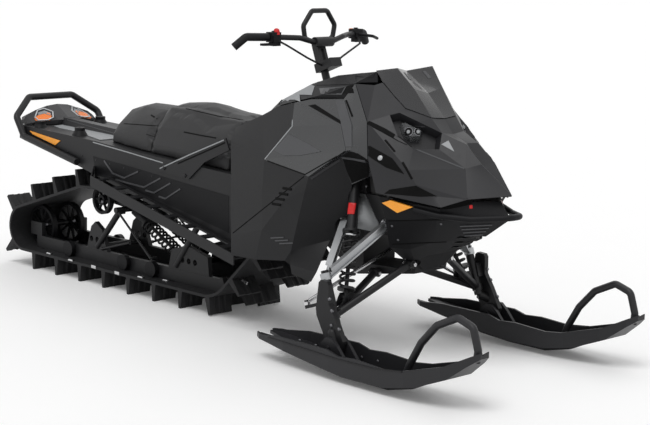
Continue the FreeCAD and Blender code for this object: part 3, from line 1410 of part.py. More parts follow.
def steering_links():
    """The pivoting plate in the slot of the bulkhead, and the two rods to the uprights."""
    top, low, axis = king_line()
    centre = pitman_centre()
    right = centre + steer_offset()
    left = Vector(right.x, -right.y, right.z)
    thick = axis * size.steer_arm_thick
    plate = Part.Face(polygon([
        centre + LEFT * size.rod_eye_radius, left + LEFT * size.rod_eye_radius,
        right - LEFT * size.rod_eye_radius, centre - LEFT * size.rod_eye_radius,
    ])).extrude(thick)
    hub = Part.makeCylinder(size.rod_eye_radius, size.steer_arm_thick, centre, axis)
    pins = [Part.makeCylinder(size.rod_radius - size.run_gap, 2 * size.steer_arm_thick + size.rod_radius,
                              ball - axis * size.steer_arm_thick - axis * size.rod_radius, axis)
            for ball in (right, left)]
    pivot = Part.makeCylinder(size.rod_radius, size.pivot_length, centre, axis)
    keep("pitman_arm", plate.multiFuse([hub, pivot] + pins))
    outer = outer_ball()
    start = outer + axis * (2 * size.run_gap + size.steer_arm_thick)
    end = right - axis * (2 * size.run_gap + size.steer_arm_thick)
    step = (end - start).normalize() * size.rod_eye_radius * 0.8
    mid = size.steer_arm_thick / 2
    lift = size.rod_radius / 2
    rod = bar(start + step + axis * (mid + lift), end - step + axis * (mid - lift), size.rod_radius)
    eyes = []
    for ball in (start, end):
        ring = Part.makeCylinder(size.rod_eye_radius, size.steer_arm_thick, ball, axis)
        eyes.append(ring)
    bores = []
    for ball in (start, end):
        bores.append(Part.makeCylinder(
            size.rod_radius, size.steer_arm_thick * 4, ball - axis * size.steer_arm_thick * 2, axis
        ))
    link = rod.multiFuse(eyes).cut(Part.makeCompound(bores))
    keep("tie_rod_right", link)
    keep("tie_rod_left", mirrored(link))


FORGING_SHARES = (
    (8.06, 3.32), (8.16, 3.42), (8.50, 3.40), (8.58, 3.28), (8.60, 2.60), (8.95, 2.08), (9.40, 1.28), (9.30, 0.88),
    (8.80, 0.80), (8.56, 1.02), (8.36, 1.40), (7.98, 2.06), (7.94, 2.30),
)
WEB_SHARES = ((8.05, 3.0), (8.36, 3.0), (8.52, 2.5), (8.25, 2.4))


def spindles():
    """The upright between the two rings, its pins, its steering arm and its foot."""
    top, low, axis = king_line()
    half_eye = size.ball_eye_height / 2 + 2 * size.run_gap
    head = top - axis * half_eye
    knee = low + axis * half_eye
    column = bar(head, knee, size.spindle_width / 2)
    pin_top = bar(head, top + axis * half_eye, size.kingpin_radius)
    nut_top = bar(top + axis * half_eye, top + axis * (half_eye + size.kingpin_radius), size.kingpin_radius * 1.5)
    pin_low = bar(knee, low - axis * half_eye, size.kingpin_radius)
    foot = low - axis * half_eye
    bolt = place(SKI_BOLT_SHARES)
    ankle = bolt + axis * (1.5 * size.spindle_width)
    heel = foot - axis * (size.spindle_width / 2)
    leg = bar(foot, heel, size.spindle_width / 2).multiFuse([
        bar(heel, ankle, size.spindle_width / 2), bar(ankle, bolt, size.spindle_width / 2),
    ])
    cup = Part.makeSphere(size.spindle_width / 2, ankle)
    start = bolt - LEFT * (size.spindle_depth / 2)
    hub = Part.makeCylinder(size.spindle_width * 0.7, size.spindle_depth, start, LEFT)
    ball = outer_ball()
    inner = ball - steer_offset()
    lever = Part.Face(polygon([
        inner + LEFT * size.rod_eye_radius, ball + LEFT * size.rod_eye_radius,
        ball - LEFT * size.rod_eye_radius, inner - LEFT * size.rod_eye_radius,
    ])).extrude(axis * size.steer_arm_thick)
    stud = Part.makeCylinder(
        size.rod_radius - size.run_gap, 2 * size.steer_arm_thick + size.rod_radius, ball, axis
    )
    outer = -KING_TOP_SHARES[1] * size.grid_wide + size.ball_eye_radius + size.forging_gap
    forging = side_plate(FORGING_SHARES, outer + size.forging_wall, size.forging_wall)
    web = side_plate(WEB_SHARES, outer + size.forging_wall / 2, outer + size.forging_wall / 2 + king_line()[0].y)
    body = column.multiFuse([pin_top, nut_top, pin_low, leg, cup, hub, lever, stud, forging, web])
    bore = Part.makeCylinder(
        size.ski_bolt_radius + size.run_gap, size.spindle_depth * 2, bolt - LEFT * size.spindle_depth, LEFT
    )
    body = body.cut(bore)
    keep("spindle_right", body)
    keep("spindle_left", mirrored(body))


SKI_EDGE_SHARES = (
    (5.2, 0.80), (6.2, 0.70), (8.3, 0.46), (10.2, 0.26), (12.2, 0.28), (13.7, 0.60), (15.0, 1.12), (16.15, 2.0),
)
SKI_RIM_SHARES = (
    (16.15, 2.22), (14.9, 1.58), (13.06, 1.07), (12.29, 0.97), (10.79, 1.05), (9.97, 0.99), (9.4, 1.14),
    (6.85, 1.12), (5.71, 0.98), (5.2, 0.98),
)
SKI_PLAN_SHARES = (
    (5.2, 0.45), (5.5, 0.62), (7.0, 0.78), (9.5, 0.86), (13.2, 0.86), (14.8, 0.74), (15.8, 0.46), (16.15, 0.22),
)
SKI_NOTCH_SHARES = ((5.0, 0.28), (6.3, 0))
SKI_KEEL_SHARES = ((6.4, 0.74), (7.0, 0.40), (8.5, 0.1), (10.0, 0), (11.8, 0), (13.0, 0.28), (14.0, 0.76))
SADDLE_WALL_SHARES = ((7.9, 0.56), (10.2, 0.34), (9.42, 1.2), (9.15, 1.42), (8.85, 1.42), (8.6, 1.2))
SKI_LOOP_SHARES = (
    (12.5, 0.5), (12.72, 1.09), (13.25, 2.0), (13.95, 2.75), (14.9, 3.2), (15.6, 2.98), (15.85, 2.2), (15.8, 1.8),
)


def ski_plan(inset):
    """The ski's outline from above, as an upright prism about its own middle."""
    right = [place((along, 0, -1)) - LEFT * (half * size.grid_wide - inset) for along, half in SKI_PLAN_SHARES]
    left = [Vector(point.x, -point.y, point.z) for point in reversed(right)]
    return Part.Face(polygon(right + left)).extrude(UP * (6 * size.grid_high))


def ski():
    """A moulded ski: a tray with rims and an upturned tip, its keel, saddle walls, bolt and tip loop."""
    centre = SKI_BOLT_SHARES[1] * size.grid_wide
    half = max(across for along, across in SKI_PLAN_SHARES) * size.grid_wide + size.overrun
    block = side_slab(SKI_EDGE_SHARES + SKI_RIM_SHARES, half).common(ski_plan(0))
    lift = size.ski_plate / size.grid_high
    floor = [(along, high + lift) for along, high in SKI_EDGE_SHARES]
    top = [(SKI_EDGE_SHARES[-1][0], 6), (SKI_EDGE_SHARES[0][0], 6)]
    room = side_slab(floor + top, half).common(ski_plan(size.ski_wall))
    notch_end, notch_tip = SKI_NOTCH_SHARES
    notch = Part.Face(polygon([
        place((notch_end[0], -notch_end[1], -1)), place((notch_tip[0], 0, -1)),
        place((notch_end[0], notch_end[1], -1)),
    ])).extrude(UP * (3 * size.grid_high))
    floor_line = [(along, high + lift / 2) for along, high in reversed(SKI_EDGE_SHARES[1:6])]
    keel = side_slab(list(SKI_KEEL_SHARES) + floor_line, size.ski_keel_width / 2)
    bolt = place(SKI_BOLT_SHARES) - LEFT * centre
    gap = size.spindle_depth / 2 + 3 * size.run_gap
    solids = [keel]
    for side in (-1, 1):
        wall = side_plate(SADDLE_WALL_SHARES, size.ski_saddle_wall / 2, size.ski_saddle_wall)
        wall.translate(LEFT * (side * (gap + size.ski_saddle_wall / 2)))
        solids.append(wall)
    reach = LEFT * (gap + size.ski_saddle_wall + size.kingpin_radius)
    solids.append(bar(bolt - reach, bolt + reach, size.ski_bolt_radius))
    path = [place((along, 0, high)) for along, high in SKI_LOOP_SHARES]
    solids.append(tube(path, size.ski_loop_radius, 2 * size.ski_loop_radius))
    body = block.cut(room).multiFuse(solids).cut(notch)
    body = body.mirror(LEFT * (centre / 2), LEFT)
    keep("ski_right", body)
    keep("ski_left", mirrored(body))


BAR_SHARES = (
    (2.14, -3.7, 11.62), (2.39, -3.3, 12.02), (2.75, -2.0, 12.0), (3.26, -1.2, 11.98), (3.35, -0.5, 11.8),
)


GRIP_END_SHARES = (0.72, 0.30)
POST_END_SHARE = 0.86
LOOP_SHARES = (
    (3.1, 0, 13.03), (3.1, -0.42, 13.03), (3.1, -0.88, 12.45), (3.1, -0.78, 11.95),
    (3.1, -0.35, 11.78), (3.1, 0, 11.78),
)
THROTTLE_FOOT_SHARES = (
    (2.85, -2.1, 11.78), (3.05, -2.3, 11.78), (2.95, -2.85, 11.78), (2.75, -2.88, 11.78), (2.66, -2.1, 11.78),
)
BRAKE_SHARES = ((2.70, 2.65, 12.0), (3.12, 2.74, 11.97), (3.2, 3.05, 11.93), (3.02, 3.5, 11.82))
CABLE_SHARES = (
    ((2.80, -2.05, 11.9), (3.2, -1.85, 11.7), (3.5, -1.0, 11.2), (3.62, -0.24, 10.86)),
    ((2.74, 2.6, 11.86), (3.2, 2.3, 11.66), (3.5, 1.0, 11.2), (3.62, 0.24, 10.86)),
)


def handlebar():
    """The bar with its grips, switch blocks, levers, grab loop, riser and the post below it."""
    right = [place(point) for point in BAR_SHARES]
    left = [Vector(point.x, -point.y, point.z) for point in reversed(right)]
    grips = tube(right + left, size.bar_radius, 2 * size.bar_radius)
    keep("handlebar", grips)
    foot, head, up = post_line()
    end = foot + (head - foot) * POST_END_SHARE
    post = doc.addObject("Part::Cylinder", "steering_post")
    post.Label = "steering_post"
    post.setExpression("Radius", "sizes.post_radius")
    post.Height = (end - foot).Length
    post.Placement = Placement(foot, Rotation(UP, up))
    doc.recompute()
    made.append(post)
    tip, knee, bend = right[0], right[1], right[2]
    outward = (tip - knee).normalize()
    ends = [knee + (bend - knee) * share for share in GRIP_END_SHARES]
    sleeves = []
    for end_point in ends:
        sleeve = tube([tip + outward * size.run_gap, knee, end_point], size.grip_radius, 2 * size.bar_radius)
        sleeves.append(main_solid(sleeve.cut(grips)))
    keep("grips", Part.makeCompound([sleeves[0], mirrored(sleeves[1])]))
    crown = (right[-1] + left[0]) * 0.5
    clamp = Part.makeCylinder(size.clamp_radius, 2 * size.block_width, crown - LEFT * size.block_width, LEFT)
    start = end + up * size.seat_gap
    across = LEFT.cross(up).normalize()
    low = start - LEFT * (size.riser_width / 2) - across * (size.riser_depth / 2)
    frame = Part.makeBox(size.riser_depth, size.riser_width, (crown - start).dot(up))
    turn = Rotation(across, LEFT, up, "ZXY")
    frame.Placement = Placement(low, turn)
    slot = Part.makeBox(4 * size.riser_depth, size.riser_width * 0.36, (head - start).dot(up) - size.clamp_radius)
    corner = start + up * size.clamp_radius * 0.7 - LEFT * (size.riser_width * 0.18)
    slot.Placement = Placement(corner - across * (2 * size.riser_depth), turn)
    base = Part.makeBox(2 * size.block_width, size.riser_width * 1.3, size.block_depth)
    corner = start - LEFT * (size.riser_width * 0.65) - across * (size.riser_depth * 0.7)
    base.Placement = Placement(corner - up * (size.block_depth * 0.4), turn)
    half_loop = tube([place(point) for point in LOOP_SHARES], size.loop_radius, 2 * size.loop_radius)
    riser = frame.cut(slot).multiFuse([clamp, base, half_loop, mirrored(half_loop)])
    riser = riser.cut(grips).cut(post.Shape)
    keep("bar_riser", main_solid(riser))
    blocks = []
    spread = Vector(size.block_depth, size.block_width, size.block_height)
    inward = (bend - knee).normalize() * (size.block_width * 0.5 + size.seat_gap * 3)
    for side, end_point in zip((-1, 1), ends):
        middle = end_point + inward
        middle = Vector(middle.x, -side * middle.y, middle.z)
        corner = middle - spread / 2
        block = Part.makeBox(spread.x, spread.y, spread.z, corner)
        dome = Part.makeCylinder(size.button_radius, size.block_height * 0.62, middle, UP)
        under = corner + Vector(spread.x * 0.3, spread.y * 0.1, -0.35 * spread.z)
        lower = Part.makeBox(spread.x * 0.8, spread.y * 0.8, spread.z, under)
        blocks.append(block.multiFuse([dome, lower]))
    throttle = Part.Face(polygon([place(point) for point in THROTTLE_FOOT_SHARES])).extrude(UP * -size.lever_thick)
    brake = [place(point) for point in BRAKE_SHARES]
    lever = tube(brake, size.lever_thick * 0.7, 2 * size.lever_thick)
    blocks[0] = blocks[0].fuse(throttle)
    blocks[1] = blocks[1].fuse(lever)
    sleeves = piece_shape("grips")
    keep("bar_controls", Part.makeCompound([main_solid(block.cut(grips).cut(sleeves)) for block in blocks]))
    solids = []
    for route in CABLE_SHARES:
        cable = tube([place(point) for point in route], size.cable_radius, 4 * size.cable_radius)
        cable = cable.cut(piece_shape("bar_controls")).cut(piece_shape("bar_riser")).cut(piece_shape("handlebar"))
        solids.append(main_solid(cable))
    keep("control_cables", Part.makeCompound(solids))


def main():
    """Every piece, each before those that are cut by it."""
    track()
    tunnel()
    idlers()
    rails()
    axles()
    skid_arms()
    running_boards()
    seats()
    rear_hoop()
    tail_housing()
    cargo_anchors()
    deck_panels()
    hood()
    headlights()
    side_panels()
    console()
    windshield()
    bulkhead()
    nose()
    flank_plates()
    names = ("console", "hood", "windshield", "belly_pan", "nose_bumper", "side_panel_right", "upper_panel_right")
    over_frame([piece.Shape for piece in made if piece.Label in names])
    arms()
    spindles()
    steering_links()
    ski()
    handlebar()
    doc.recompute()
    os.makedirs("parts", exist_ok=True)
    for piece in doc.Objects:
        if "Invalid" in piece.State or "Error" in piece.State:
            raise RuntimeError("%s is in state %s" % (piece.Label, piece.State))
    for piece in made:
        if piece.Shape.isNull() or not piece.Shape.isValid():
            raise RuntimeError("%s has no valid shape" % piece.Label)
    boxes = [piece.Shape.optimalBoundingBox(False, False) for piece in made]
    shift = -(min(box.XMin for box in boxes) + max(box.XMax for box in boxes)) / 2
    for piece in made:
        placed = piece.Shape.copy()
        placed.translate(Vector(shift, 0, 0))
        placed.exportStep(os.path.join("parts", piece.Label + ".step"))
    print("sub-parts", len(made), "shift", round(shift, 3))


main()
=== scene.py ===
# %% [markdown]
# # A mountain snowmobile
# The machine has already been built in CAD: every tube, panel and wheel is a solid with a real
# size. Here it gets its looks: the finish of each surface, the soft seat, the small trim, a
# studio and a camera. The CAD solids are loaded first and are never moved.

# %% Load the frame
import bpy
import json
import math
from mathutils import Matrix, Vector, geometry
from mathutils.bvhtree import BVHTree


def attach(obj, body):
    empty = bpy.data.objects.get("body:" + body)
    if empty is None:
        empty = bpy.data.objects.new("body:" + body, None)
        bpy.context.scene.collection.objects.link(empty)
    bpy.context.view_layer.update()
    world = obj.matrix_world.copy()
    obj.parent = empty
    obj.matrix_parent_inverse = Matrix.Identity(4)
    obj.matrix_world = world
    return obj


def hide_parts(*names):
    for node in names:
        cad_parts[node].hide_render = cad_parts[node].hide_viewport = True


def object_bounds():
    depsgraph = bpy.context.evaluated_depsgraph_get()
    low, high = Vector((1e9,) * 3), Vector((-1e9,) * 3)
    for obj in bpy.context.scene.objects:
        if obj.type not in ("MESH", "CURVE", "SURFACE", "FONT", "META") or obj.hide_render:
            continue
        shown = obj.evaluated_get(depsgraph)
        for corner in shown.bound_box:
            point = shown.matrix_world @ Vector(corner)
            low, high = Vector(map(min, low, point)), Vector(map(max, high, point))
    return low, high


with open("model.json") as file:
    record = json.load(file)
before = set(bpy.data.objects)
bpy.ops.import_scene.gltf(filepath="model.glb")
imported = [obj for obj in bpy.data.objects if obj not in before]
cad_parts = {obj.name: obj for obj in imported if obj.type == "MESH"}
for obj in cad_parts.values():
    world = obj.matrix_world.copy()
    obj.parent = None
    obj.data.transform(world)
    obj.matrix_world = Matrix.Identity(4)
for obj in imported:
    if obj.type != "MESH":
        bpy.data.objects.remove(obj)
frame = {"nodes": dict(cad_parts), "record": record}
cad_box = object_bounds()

nodes = frame["nodes"]
print(len(nodes), "pieces, box", [[round(c, 3) for c in corner] for corner in cad_box])

# %% [markdown]
# ## The camera
# The photograph was taken from the front right with a long lens, a little above the floor and
# tilted by a degree or so. A long lens far away keeps the near ski from looking too big. The
# place is worked out from a target on the machine, so that the angles stay readable. An azimuth
# counts from the machine's right side towards its front.

# %% Camera
MIDDLE = 0.0185  # where the drawing's zero lies, forward of the middle of the box
TARGET = Vector((0.370 + MIDDLE, 0, 0.4892))
AZIMUTH = math.radians(45.1)
ELEVATION = math.radians(9.5)
DISTANCE = 6.9338
ROLL = math.radians(1.4)
FOCAL, FILM = 94.4, 36  # millimetres


def bearing(azimuth, elevation):
    """The direction from the machine towards a camera or a lamp."""
    level = math.cos(elevation)
    return Vector((math.sin(azimuth) * level, -math.cos(azimuth) * level, math.sin(elevation)))


toward = bearing(AZIMUTH, ELEVATION)
lens = bpy.data.cameras.new("long_lens")
lens.lens = FOCAL
lens.sensor_width = FILM
camera = bpy.data.objects.new("camera", lens)
bpy.context.scene.collection.objects.link(camera)
turn = toward.to_track_quat("Z", "Y").to_matrix().to_4x4() @ Matrix.Rotation(ROLL, 4, "Z")
camera.matrix_world = Matrix.Translation(TARGET + toward * DISTANCE) @ turn
bpy.context.scene.camera = camera
print("camera at", [round(c, 3) for c in camera.matrix_world.translation])

# %% [markdown]
# ## The studio
# A black machine shows its form by what it reflects, so the room is plain and bright: a white
# sky, a broad soft key from above, and a pale floor. The sky is white to the camera and in
# reflections, and gentler as a light, so that a colour renders about as it is written.

# %% World
SKY_AS_LIGHT, SKY_AS_SEEN = 0.55, 1.0

world = bpy.data.worlds.new("studio")
bpy.context.scene.world = world
world.use_nodes = True
sky = world.node_tree
sky.nodes.clear()
paths = sky.nodes.new("ShaderNodeLightPath")
seen = paths.outputs["Is Camera Ray"]
for ray in ("Is Glossy Ray", "Is Transmission Ray"):
    either = sky.nodes.new("ShaderNodeMath")
    either.operation = "MAXIMUM"
    sky.links.new(seen, either.inputs[0])
    sky.links.new(paths.outputs[ray], either.inputs[1])
    seen = either.outputs[0]
blend = sky.nodes.new("ShaderNodeMixShader")
sky.links.new(seen, blend.inputs[0])
for socket, strength in ((1, SKY_AS_LIGHT), (2, SKY_AS_SEEN)):
    white = sky.nodes.new("ShaderNodeBackground")
    white.inputs["Color"].default_value = (1, 1, 1, 1)
    white.inputs["Strength"].default_value = strength
    sky.links.new(white.outputs[0], blend.inputs[socket])
out = sky.nodes.new("ShaderNodeOutputWorld")
sky.links.new(blend.outputs[0], out.inputs["Surface"])


# %% Lamps
def soft_sun(name, azimuth, elevation, strength, spread):
    """A distant lamp as wide as a studio softbox, its angles in degrees."""
    data = bpy.data.lights.new(name, "SUN")
    data.energy = strength
    data.angle = math.radians(spread)
    lamp = bpy.data.objects.new(name, data)
    bpy.context.scene.collection.objects.link(lamp)
    away = bearing(math.radians(azimuth), math.radians(elevation))
    lamp.rotation_euler = away.to_track_quat("Z", "Y").to_euler()


soft_sun("key", azimuth=20, elevation=62, strength=1.15, spread=30)
soft_sun("rim", azimuth=200, elevation=50, strength=0.35, spread=40)
bpy.context.scene.view_settings.view_transform = "Standard"
print("studio ready")

# %% [markdown]
# ## Shader maths as plain expressions
# A material is a graph of nodes. Wiring each node by hand hides the idea, so one small class
# wraps a socket and lets ordinary operators add the Math nodes. Everything else comes from one
# method that takes a node's type, its settings and its inputs.


# %% A socket that can be added and multiplied
class Wire:
    """One output socket of a material's graph."""

    def __init__(self, graph, socket):
        self.graph = graph
        self.socket = socket

    def maths(self, operation, left, right=None):
        """A Math node fed by one or two values."""
        return self.graph.node("Math", {"operation": operation}, {0: left, 1: right})

    def __add__(self, other):
        return self.maths("ADD", self, other)

    __radd__ = __add__

    def __sub__(self, other):
        return self.maths("SUBTRACT", self, other)

    def __mul__(self, other):
        return self.maths("MULTIPLY", self, other)

    def sine(self):
        return self.maths("SINE", self)

    def clamped(self):
        return self.graph.node("Clamp", {}, {"Value": self})


class Graph:
    """A new material and the nodes that make it."""

    def __init__(self, name):
        self.material = bpy.data.materials.new(name)
        self.material.use_nodes = True
        self.tree = self.material.node_tree
        self.shader = self.tree.nodes["Principled BSDF"]
        self.place = Wire(self, self.tree.nodes.new("ShaderNodeTexCoord").outputs["Object"])

    def node(self, kind, settings, inputs, output=0):
        """Adds any node: its settings first, then its sockets' values or links."""
        added = self.tree.nodes.new("ShaderNode" + kind)
        for key, value in settings.items():
            setattr(added, key, value)
        for key, value in inputs.items():
            if isinstance(value, Wire):
                self.tree.links.new(value.socket, added.inputs[key])
            elif value is not None:
                added.inputs[key].default_value = value
        return Wire(self, added.outputs[output])

    def set(self, **sockets):
        """Feeds the shader; underscores in a name stand for spaces."""
        for name, value in sockets.items():
            socket = self.shader.inputs[name.replace("_", " ")]
            if isinstance(value, Wire):
                self.tree.links.new(value.socket, socket)
            else:
                socket.default_value = value

    def noise(self, scale, detail=3.0, rough=0.5):
        """A cloudy pattern; the scale is how many of its lumps make a metre."""
        return self.node("TexNoise", {}, {
            "Vector": self.place, "Scale": scale, "Detail": detail, "Roughness": rough,
        })

    def mix(self, factor, first, second):
        """A colour between two others."""
        return self.node("Mix", {"data_type": "RGBA"}, {0: factor, 6: first, 7: second}, 2)

    def bump(self, height, distance):
        """A surface raised by a height between 0 and 1, times a distance in metres."""
        return self.node("Bump", {}, {"Height": height, "Distance": distance, "Strength": 1.0})

    def part(self, axis):
        """One coordinate of the object's own space, in metres."""
        split = self.tree.nodes.new("ShaderNodeSeparateXYZ")
        self.tree.links.new(self.place.socket, split.inputs[0])
        return Wire(self, split.outputs["XYZ".index(axis)])


def shade(colour, factor):
    """A colour made lighter or darker, with full alpha."""
    return (colour[0] * factor, colour[1] * factor, colour[2] * factor, 1)


print("shader helpers ready")

# %% [markdown]
# ## Moulded plastic
# Most of the body is black plastic from a mould. The mould is etched, so the skin has a fine
# pebble that breaks up reflections. Broad, faint changes of tone and gloss come from handling
# and cold. Three noises do it: one at the size of the pebble, one at a hand's width for the
# tone, one between for the gloss.


# %% Moulded plastic
def moulded(name, colour, rough, pebble=900, depth=0.00012, coat=0.0, tone=0.25, shine=0.3):
    """Etched moulded plastic: pebble in the bump, drift in tone and gloss."""
    g = Graph(name)
    drift = g.noise(2.6, detail=2)
    grain = g.noise(pebble, detail=2)
    wear = (g.noise(34, detail=4, rough=0.65) - 0.56).clamped() * 3
    g.set(
        Base_Color=g.mix(drift, shade(colour, 1 - tone), shade(colour, 1 + tone)),
        Roughness=(rough - 0.04 + drift * 0.06 + grain * 0.05 + wear * 0.12).clamped(),
        Normal=g.bump(grain, depth),
        Specular_IOR_Level=shine, Coat_Weight=coat, Coat_Roughness=0.08,
    )
    return g.material


panel_black = moulded("panel_black", (0.018, 0.018, 0.020), 0.40)
panel_gloss = moulded(
    "panel_gloss", (0.026, 0.027, 0.029), 0.24, depth=0.00001, coat=0.25, shine=0.45,
)
# Pale plastic: real stripes and insets, and pale strips that are painted highlights along edges,
# lips and creases.
pale_trim_and_painted_highlight = moulded("pale_trim_and_painted_highlight", (0.055, 0.056, 0.060), 0.36, tone=0.12, shine=0.4)
panel_dark = moulded("panel_dark", (0.006, 0.006, 0.007), 0.48, shine=0.17)
panel_side = moulded("panel_side", (0.010, 0.010, 0.011), 0.42, shine=0.2)
# Near-black: the colour of dark inserts, and painted shade in seams, slits, vents, folds, the wheel
# arch and under edges.
dark_trim_and_painted_shade = moulded("dark_trim_and_painted_shade", (0.003, 0.003, 0.003), 0.7, shine=0.1)
light_grey = moulded("light_grey", (0.26, 0.27, 0.28), 0.42, pebble=700, depth=0.0001, tone=0.06)
# Grey plastic: real tabs and marks, and grey strips and discs that are painted highlights and
# glints.
grey_trim_and_painted_highlight = moulded("grey_trim_and_painted_highlight", (0.30, 0.31, 0.32), 0.35, pebble=700, depth=0.00005, tone=0.06)
red_plastic = moulded("red_plastic", (0.60, 0.02, 0.02), 0.35)
orange_plastic = moulded("orange_plastic", (0.85, 0.22, 0.02), 0.35)
print("moulded plastics made")

# %% [markdown]
# ## Coated and bare metal
# The tunnel, boards and skid frame are metal under a satin black powder coat: a slight orange
# peel, with paler dust in patches. The upper arms are forged and blasted, so they are pale and
# dull. The tie rods are bright drawn steel.


# %% Metals
def coated(name, colour, rough):
    """Powder coat: orange peel about two millimetres across."""
    g = Graph(name)
    peel = g.noise(420, detail=2)
    drift = g.noise(3.1)
    dust = (g.noise(11, detail=5, rough=0.7) - 0.55).clamped() * 1.6
    coat = g.mix(drift, shade(colour, 0.8), shade(colour, 1.25))
    g.set(
        Base_Color=g.mix(dust, coat, shade(colour, 2.2)),
        Roughness=(rough + drift * 0.08 + dust * 0.2).clamped(),
        Normal=g.bump(peel, 0.0001),
        Specular_IOR_Level=0.28,
    )
    return g.material


def blasted(name, colour, rough, grain):
    """Bare metal with a cast or drawn skin."""
    g = Graph(name)
    speck = g.noise(grain)
    drift = g.noise(7)
    g.set(
        Base_Color=g.mix(drift, shade(colour, 0.82), shade(colour, 1.1)),
        Roughness=(rough + speck * 0.14 - 0.07).clamped(),
        Normal=g.bump(speck, 0.0001),
        Metallic=1.0,
    )
    return g.material


painted_black = coated("painted_black", (0.010, 0.010, 0.011), 0.40)
cast_silver = blasted("cast_silver", (0.42, 0.43, 0.44), 0.42, grain=600)
steel = blasted("steel", (0.62, 0.62, 0.63), 0.24, grain=900)
dull_steel = blasted("dull_steel", (0.16, 0.16, 0.17), 0.42, grain=900)
cast_iron = blasted("cast_iron", (0.10, 0.10, 0.10), 0.7, grain=300)
print("metals made")

# %% [markdown]
# ## Rubber
# The track is thick moulded rubber with fabric inside. It is duller than plastic and shows the
# flow of the mould as soft waves, with paler scuffs on the lugs.


# %% Rubber
def rubber(name, colour, rough):
    """Dull moulded rubber with scuffed high spots."""
    g = Graph(name)
    flow = g.noise(18, detail=4, rough=0.6)
    grain = g.noise(520, detail=2)
    scuff = (g.noise(60, detail=5, rough=0.7) - 0.52).clamped() * 2.2
    g.set(
        Base_Color=g.mix(scuff, shade(colour, 1.0), shade(colour, 2.0)),
        Roughness=(rough + flow * 0.12 - 0.06).clamped(),
        Normal=g.bump(flow * 0.35 + grain * 0.2, 0.0006),
        Specular_IOR_Level=0.2,
    )
    return g.material


track_rubber = rubber("track_rubber", (0.018, 0.018, 0.019), 0.58)
grip_rubber = rubber("grip_rubber", (0.009, 0.009, 0.010), 0.55)
print("rubbers made")

# %% [markdown]
# ## Lamps, reflectors and the smoked shield
# A reflector is clear amber plastic with rows of small prisms behind it, so its face is a fine
# diamond pattern. The lenses are clear, and the shield at the front is smoked so dark that only
# a little shows through.


# %% Clear and coloured plastics
def prismed(name, colour, pitch):
    """A reflector: crossed rows of prisms under a glossy face, with a faint painted glow."""
    g = Graph(name)
    along, up = g.part("X"), g.part("Z")
    rows = ((along + up * 0.6) * (math.tau / pitch)).sine()
    columns = ((along - up * 1.4) * (math.tau / pitch)).sine()
    cells = (rows * columns * 0.5 + 0.5).clamped()
    g.set(
        Base_Color=g.mix(cells, shade(colour, 0.75), shade(colour, 1.15)),
        Normal=g.bump(cells, 0.0006),
        # The faint emission is a painted glow on the reflectors and the tail lenses.
        Roughness=0.3, Coat_Weight=0.2, Emission_Color=(*colour, 1), Emission_Strength=0.08,
    )
    return g.material


amber = prismed("amber", (0.95, 0.36, 0.02), pitch=0.006)
lamp_orange = prismed("lamp_orange", (0.95, 0.22, 0.02), pitch=0.005)


def clear(name, colour, rough, alpha):
    """A clear or smoked plastic, thin enough to treat as a tinted film."""
    g = Graph(name)
    film = g.noise(5)
    g.set(
        Base_Color=g.mix(film, shade(colour, 0.9), shade(colour, 1.1)),
        Roughness=(rough + film * 0.04).clamped(), Alpha=alpha, IOR=1.49, Coat_Weight=0.4,
    )
    return g.material


lens_clear = clear("lens_clear", (0.12, 0.125, 0.13), 0.04, 0.45)
smoked = clear("smoked", (0.012, 0.012, 0.014), 0.12, 0.93)
print("lens plastics made")

# %% [markdown]
# ## Vinyl
# The seat has a grained vinyl cover. The grain is a cell pattern about two millimetres across,
# and the tone drifts where the cover is stretched over the foam.


# %% Vinyl
def vinyl(name, colour):
    """Grained seat cover."""
    g = Graph(name)
    cells = g.node("TexVoronoi", {}, {"Vector": g.place, "Scale": 420.0})
    drift = g.noise(5)
    worn = (g.noise(16, detail=4, rough=0.6) - 0.5).clamped()
    g.set(
        Base_Color=g.mix(drift, shade(colour, 0.8), shade(colour, 1.25)),
        Roughness=(0.46 + drift * 0.1 + worn * 0.2).clamped(),
        Normal=g.bump(cells * 0.6 + drift * 0.8, 0.0005),
        Specular_IOR_Level=0.35,
    )
    return g.material


seat_vinyl = vinyl("seat_vinyl", (0.019, 0.019, 0.020))
print("vinyl made")

# %% [markdown]
# ## Placing small pieces by the photograph
# Much of the surface trim is thin: a lip, a seam, an inset panel. The easiest true place for it
# is the pixel where the photograph shows it. A line of sight goes from the camera through that
# pixel to the CAD skin, and the piece is built on the point where it lands, lifted a millimetre
# or so. The machine is the same on both sides, so each piece is also built on the left, apart
# from a few marks and the stop button.


# %% Lines of sight
WIDE, HIGH = 650, 425  # the photograph's pixels
TRIES, NUDGE = 16, 0.06  # a miss moves this share of the way to the middle, so many times
eye = camera.matrix_world.translation.copy()
aim = camera.matrix_world.to_3x3()
skins = {}
covers = {}


def sight(pixel):
    """The direction through a pixel of the photograph."""
    scale = lens.sensor_width / lens.lens / WIDE
    across, up = (pixel[0] - WIDE / 2) * scale, (HIGH / 2 - pixel[1]) * scale
    return (aim @ Vector((across, up, -1))).normalized()


def skin(names):
    """A search tree over some CAD nodes, built once."""
    if names not in skins:
        points, faces = [], []
        for name in names:
            body = nodes[name] if name in nodes else covers[name]
            start = len(points)
            points += [body.matrix_world @ corner.co for corner in body.data.vertices]
            faces += [[start + i for i in face.vertices] for face in body.data.polygons]
        skins[names] = BVHTree.FromPolygons(points, faces)
    return skins[names]


def landing(pixel, names, middle=None):
    """The point on the skin behind a pixel, and the way it faces."""
    start = Vector(pixel)
    middle = Vector(middle or pixel)
    for step in range(TRIES):
        ray = sight(start.lerp(middle, step * NUDGE))
        spot, facing, _, _ = skin(names).ray_cast(eye, ray)
        if spot:
            return spot, (facing if facing.dot(ray) < 0 else -facing)
    return None


def mirrored(points):
    """The same points on the machine's left."""
    return [Vector((p.x, -p.y, p.z)) for p in points]


def joined(shapes):
    """The points and faces of several shapes as one."""
    points, faces = [], []
    for more, sides in shapes:
        faces += [[i + len(points) for i in side] for side in sides]
        points += more
    return points, faces


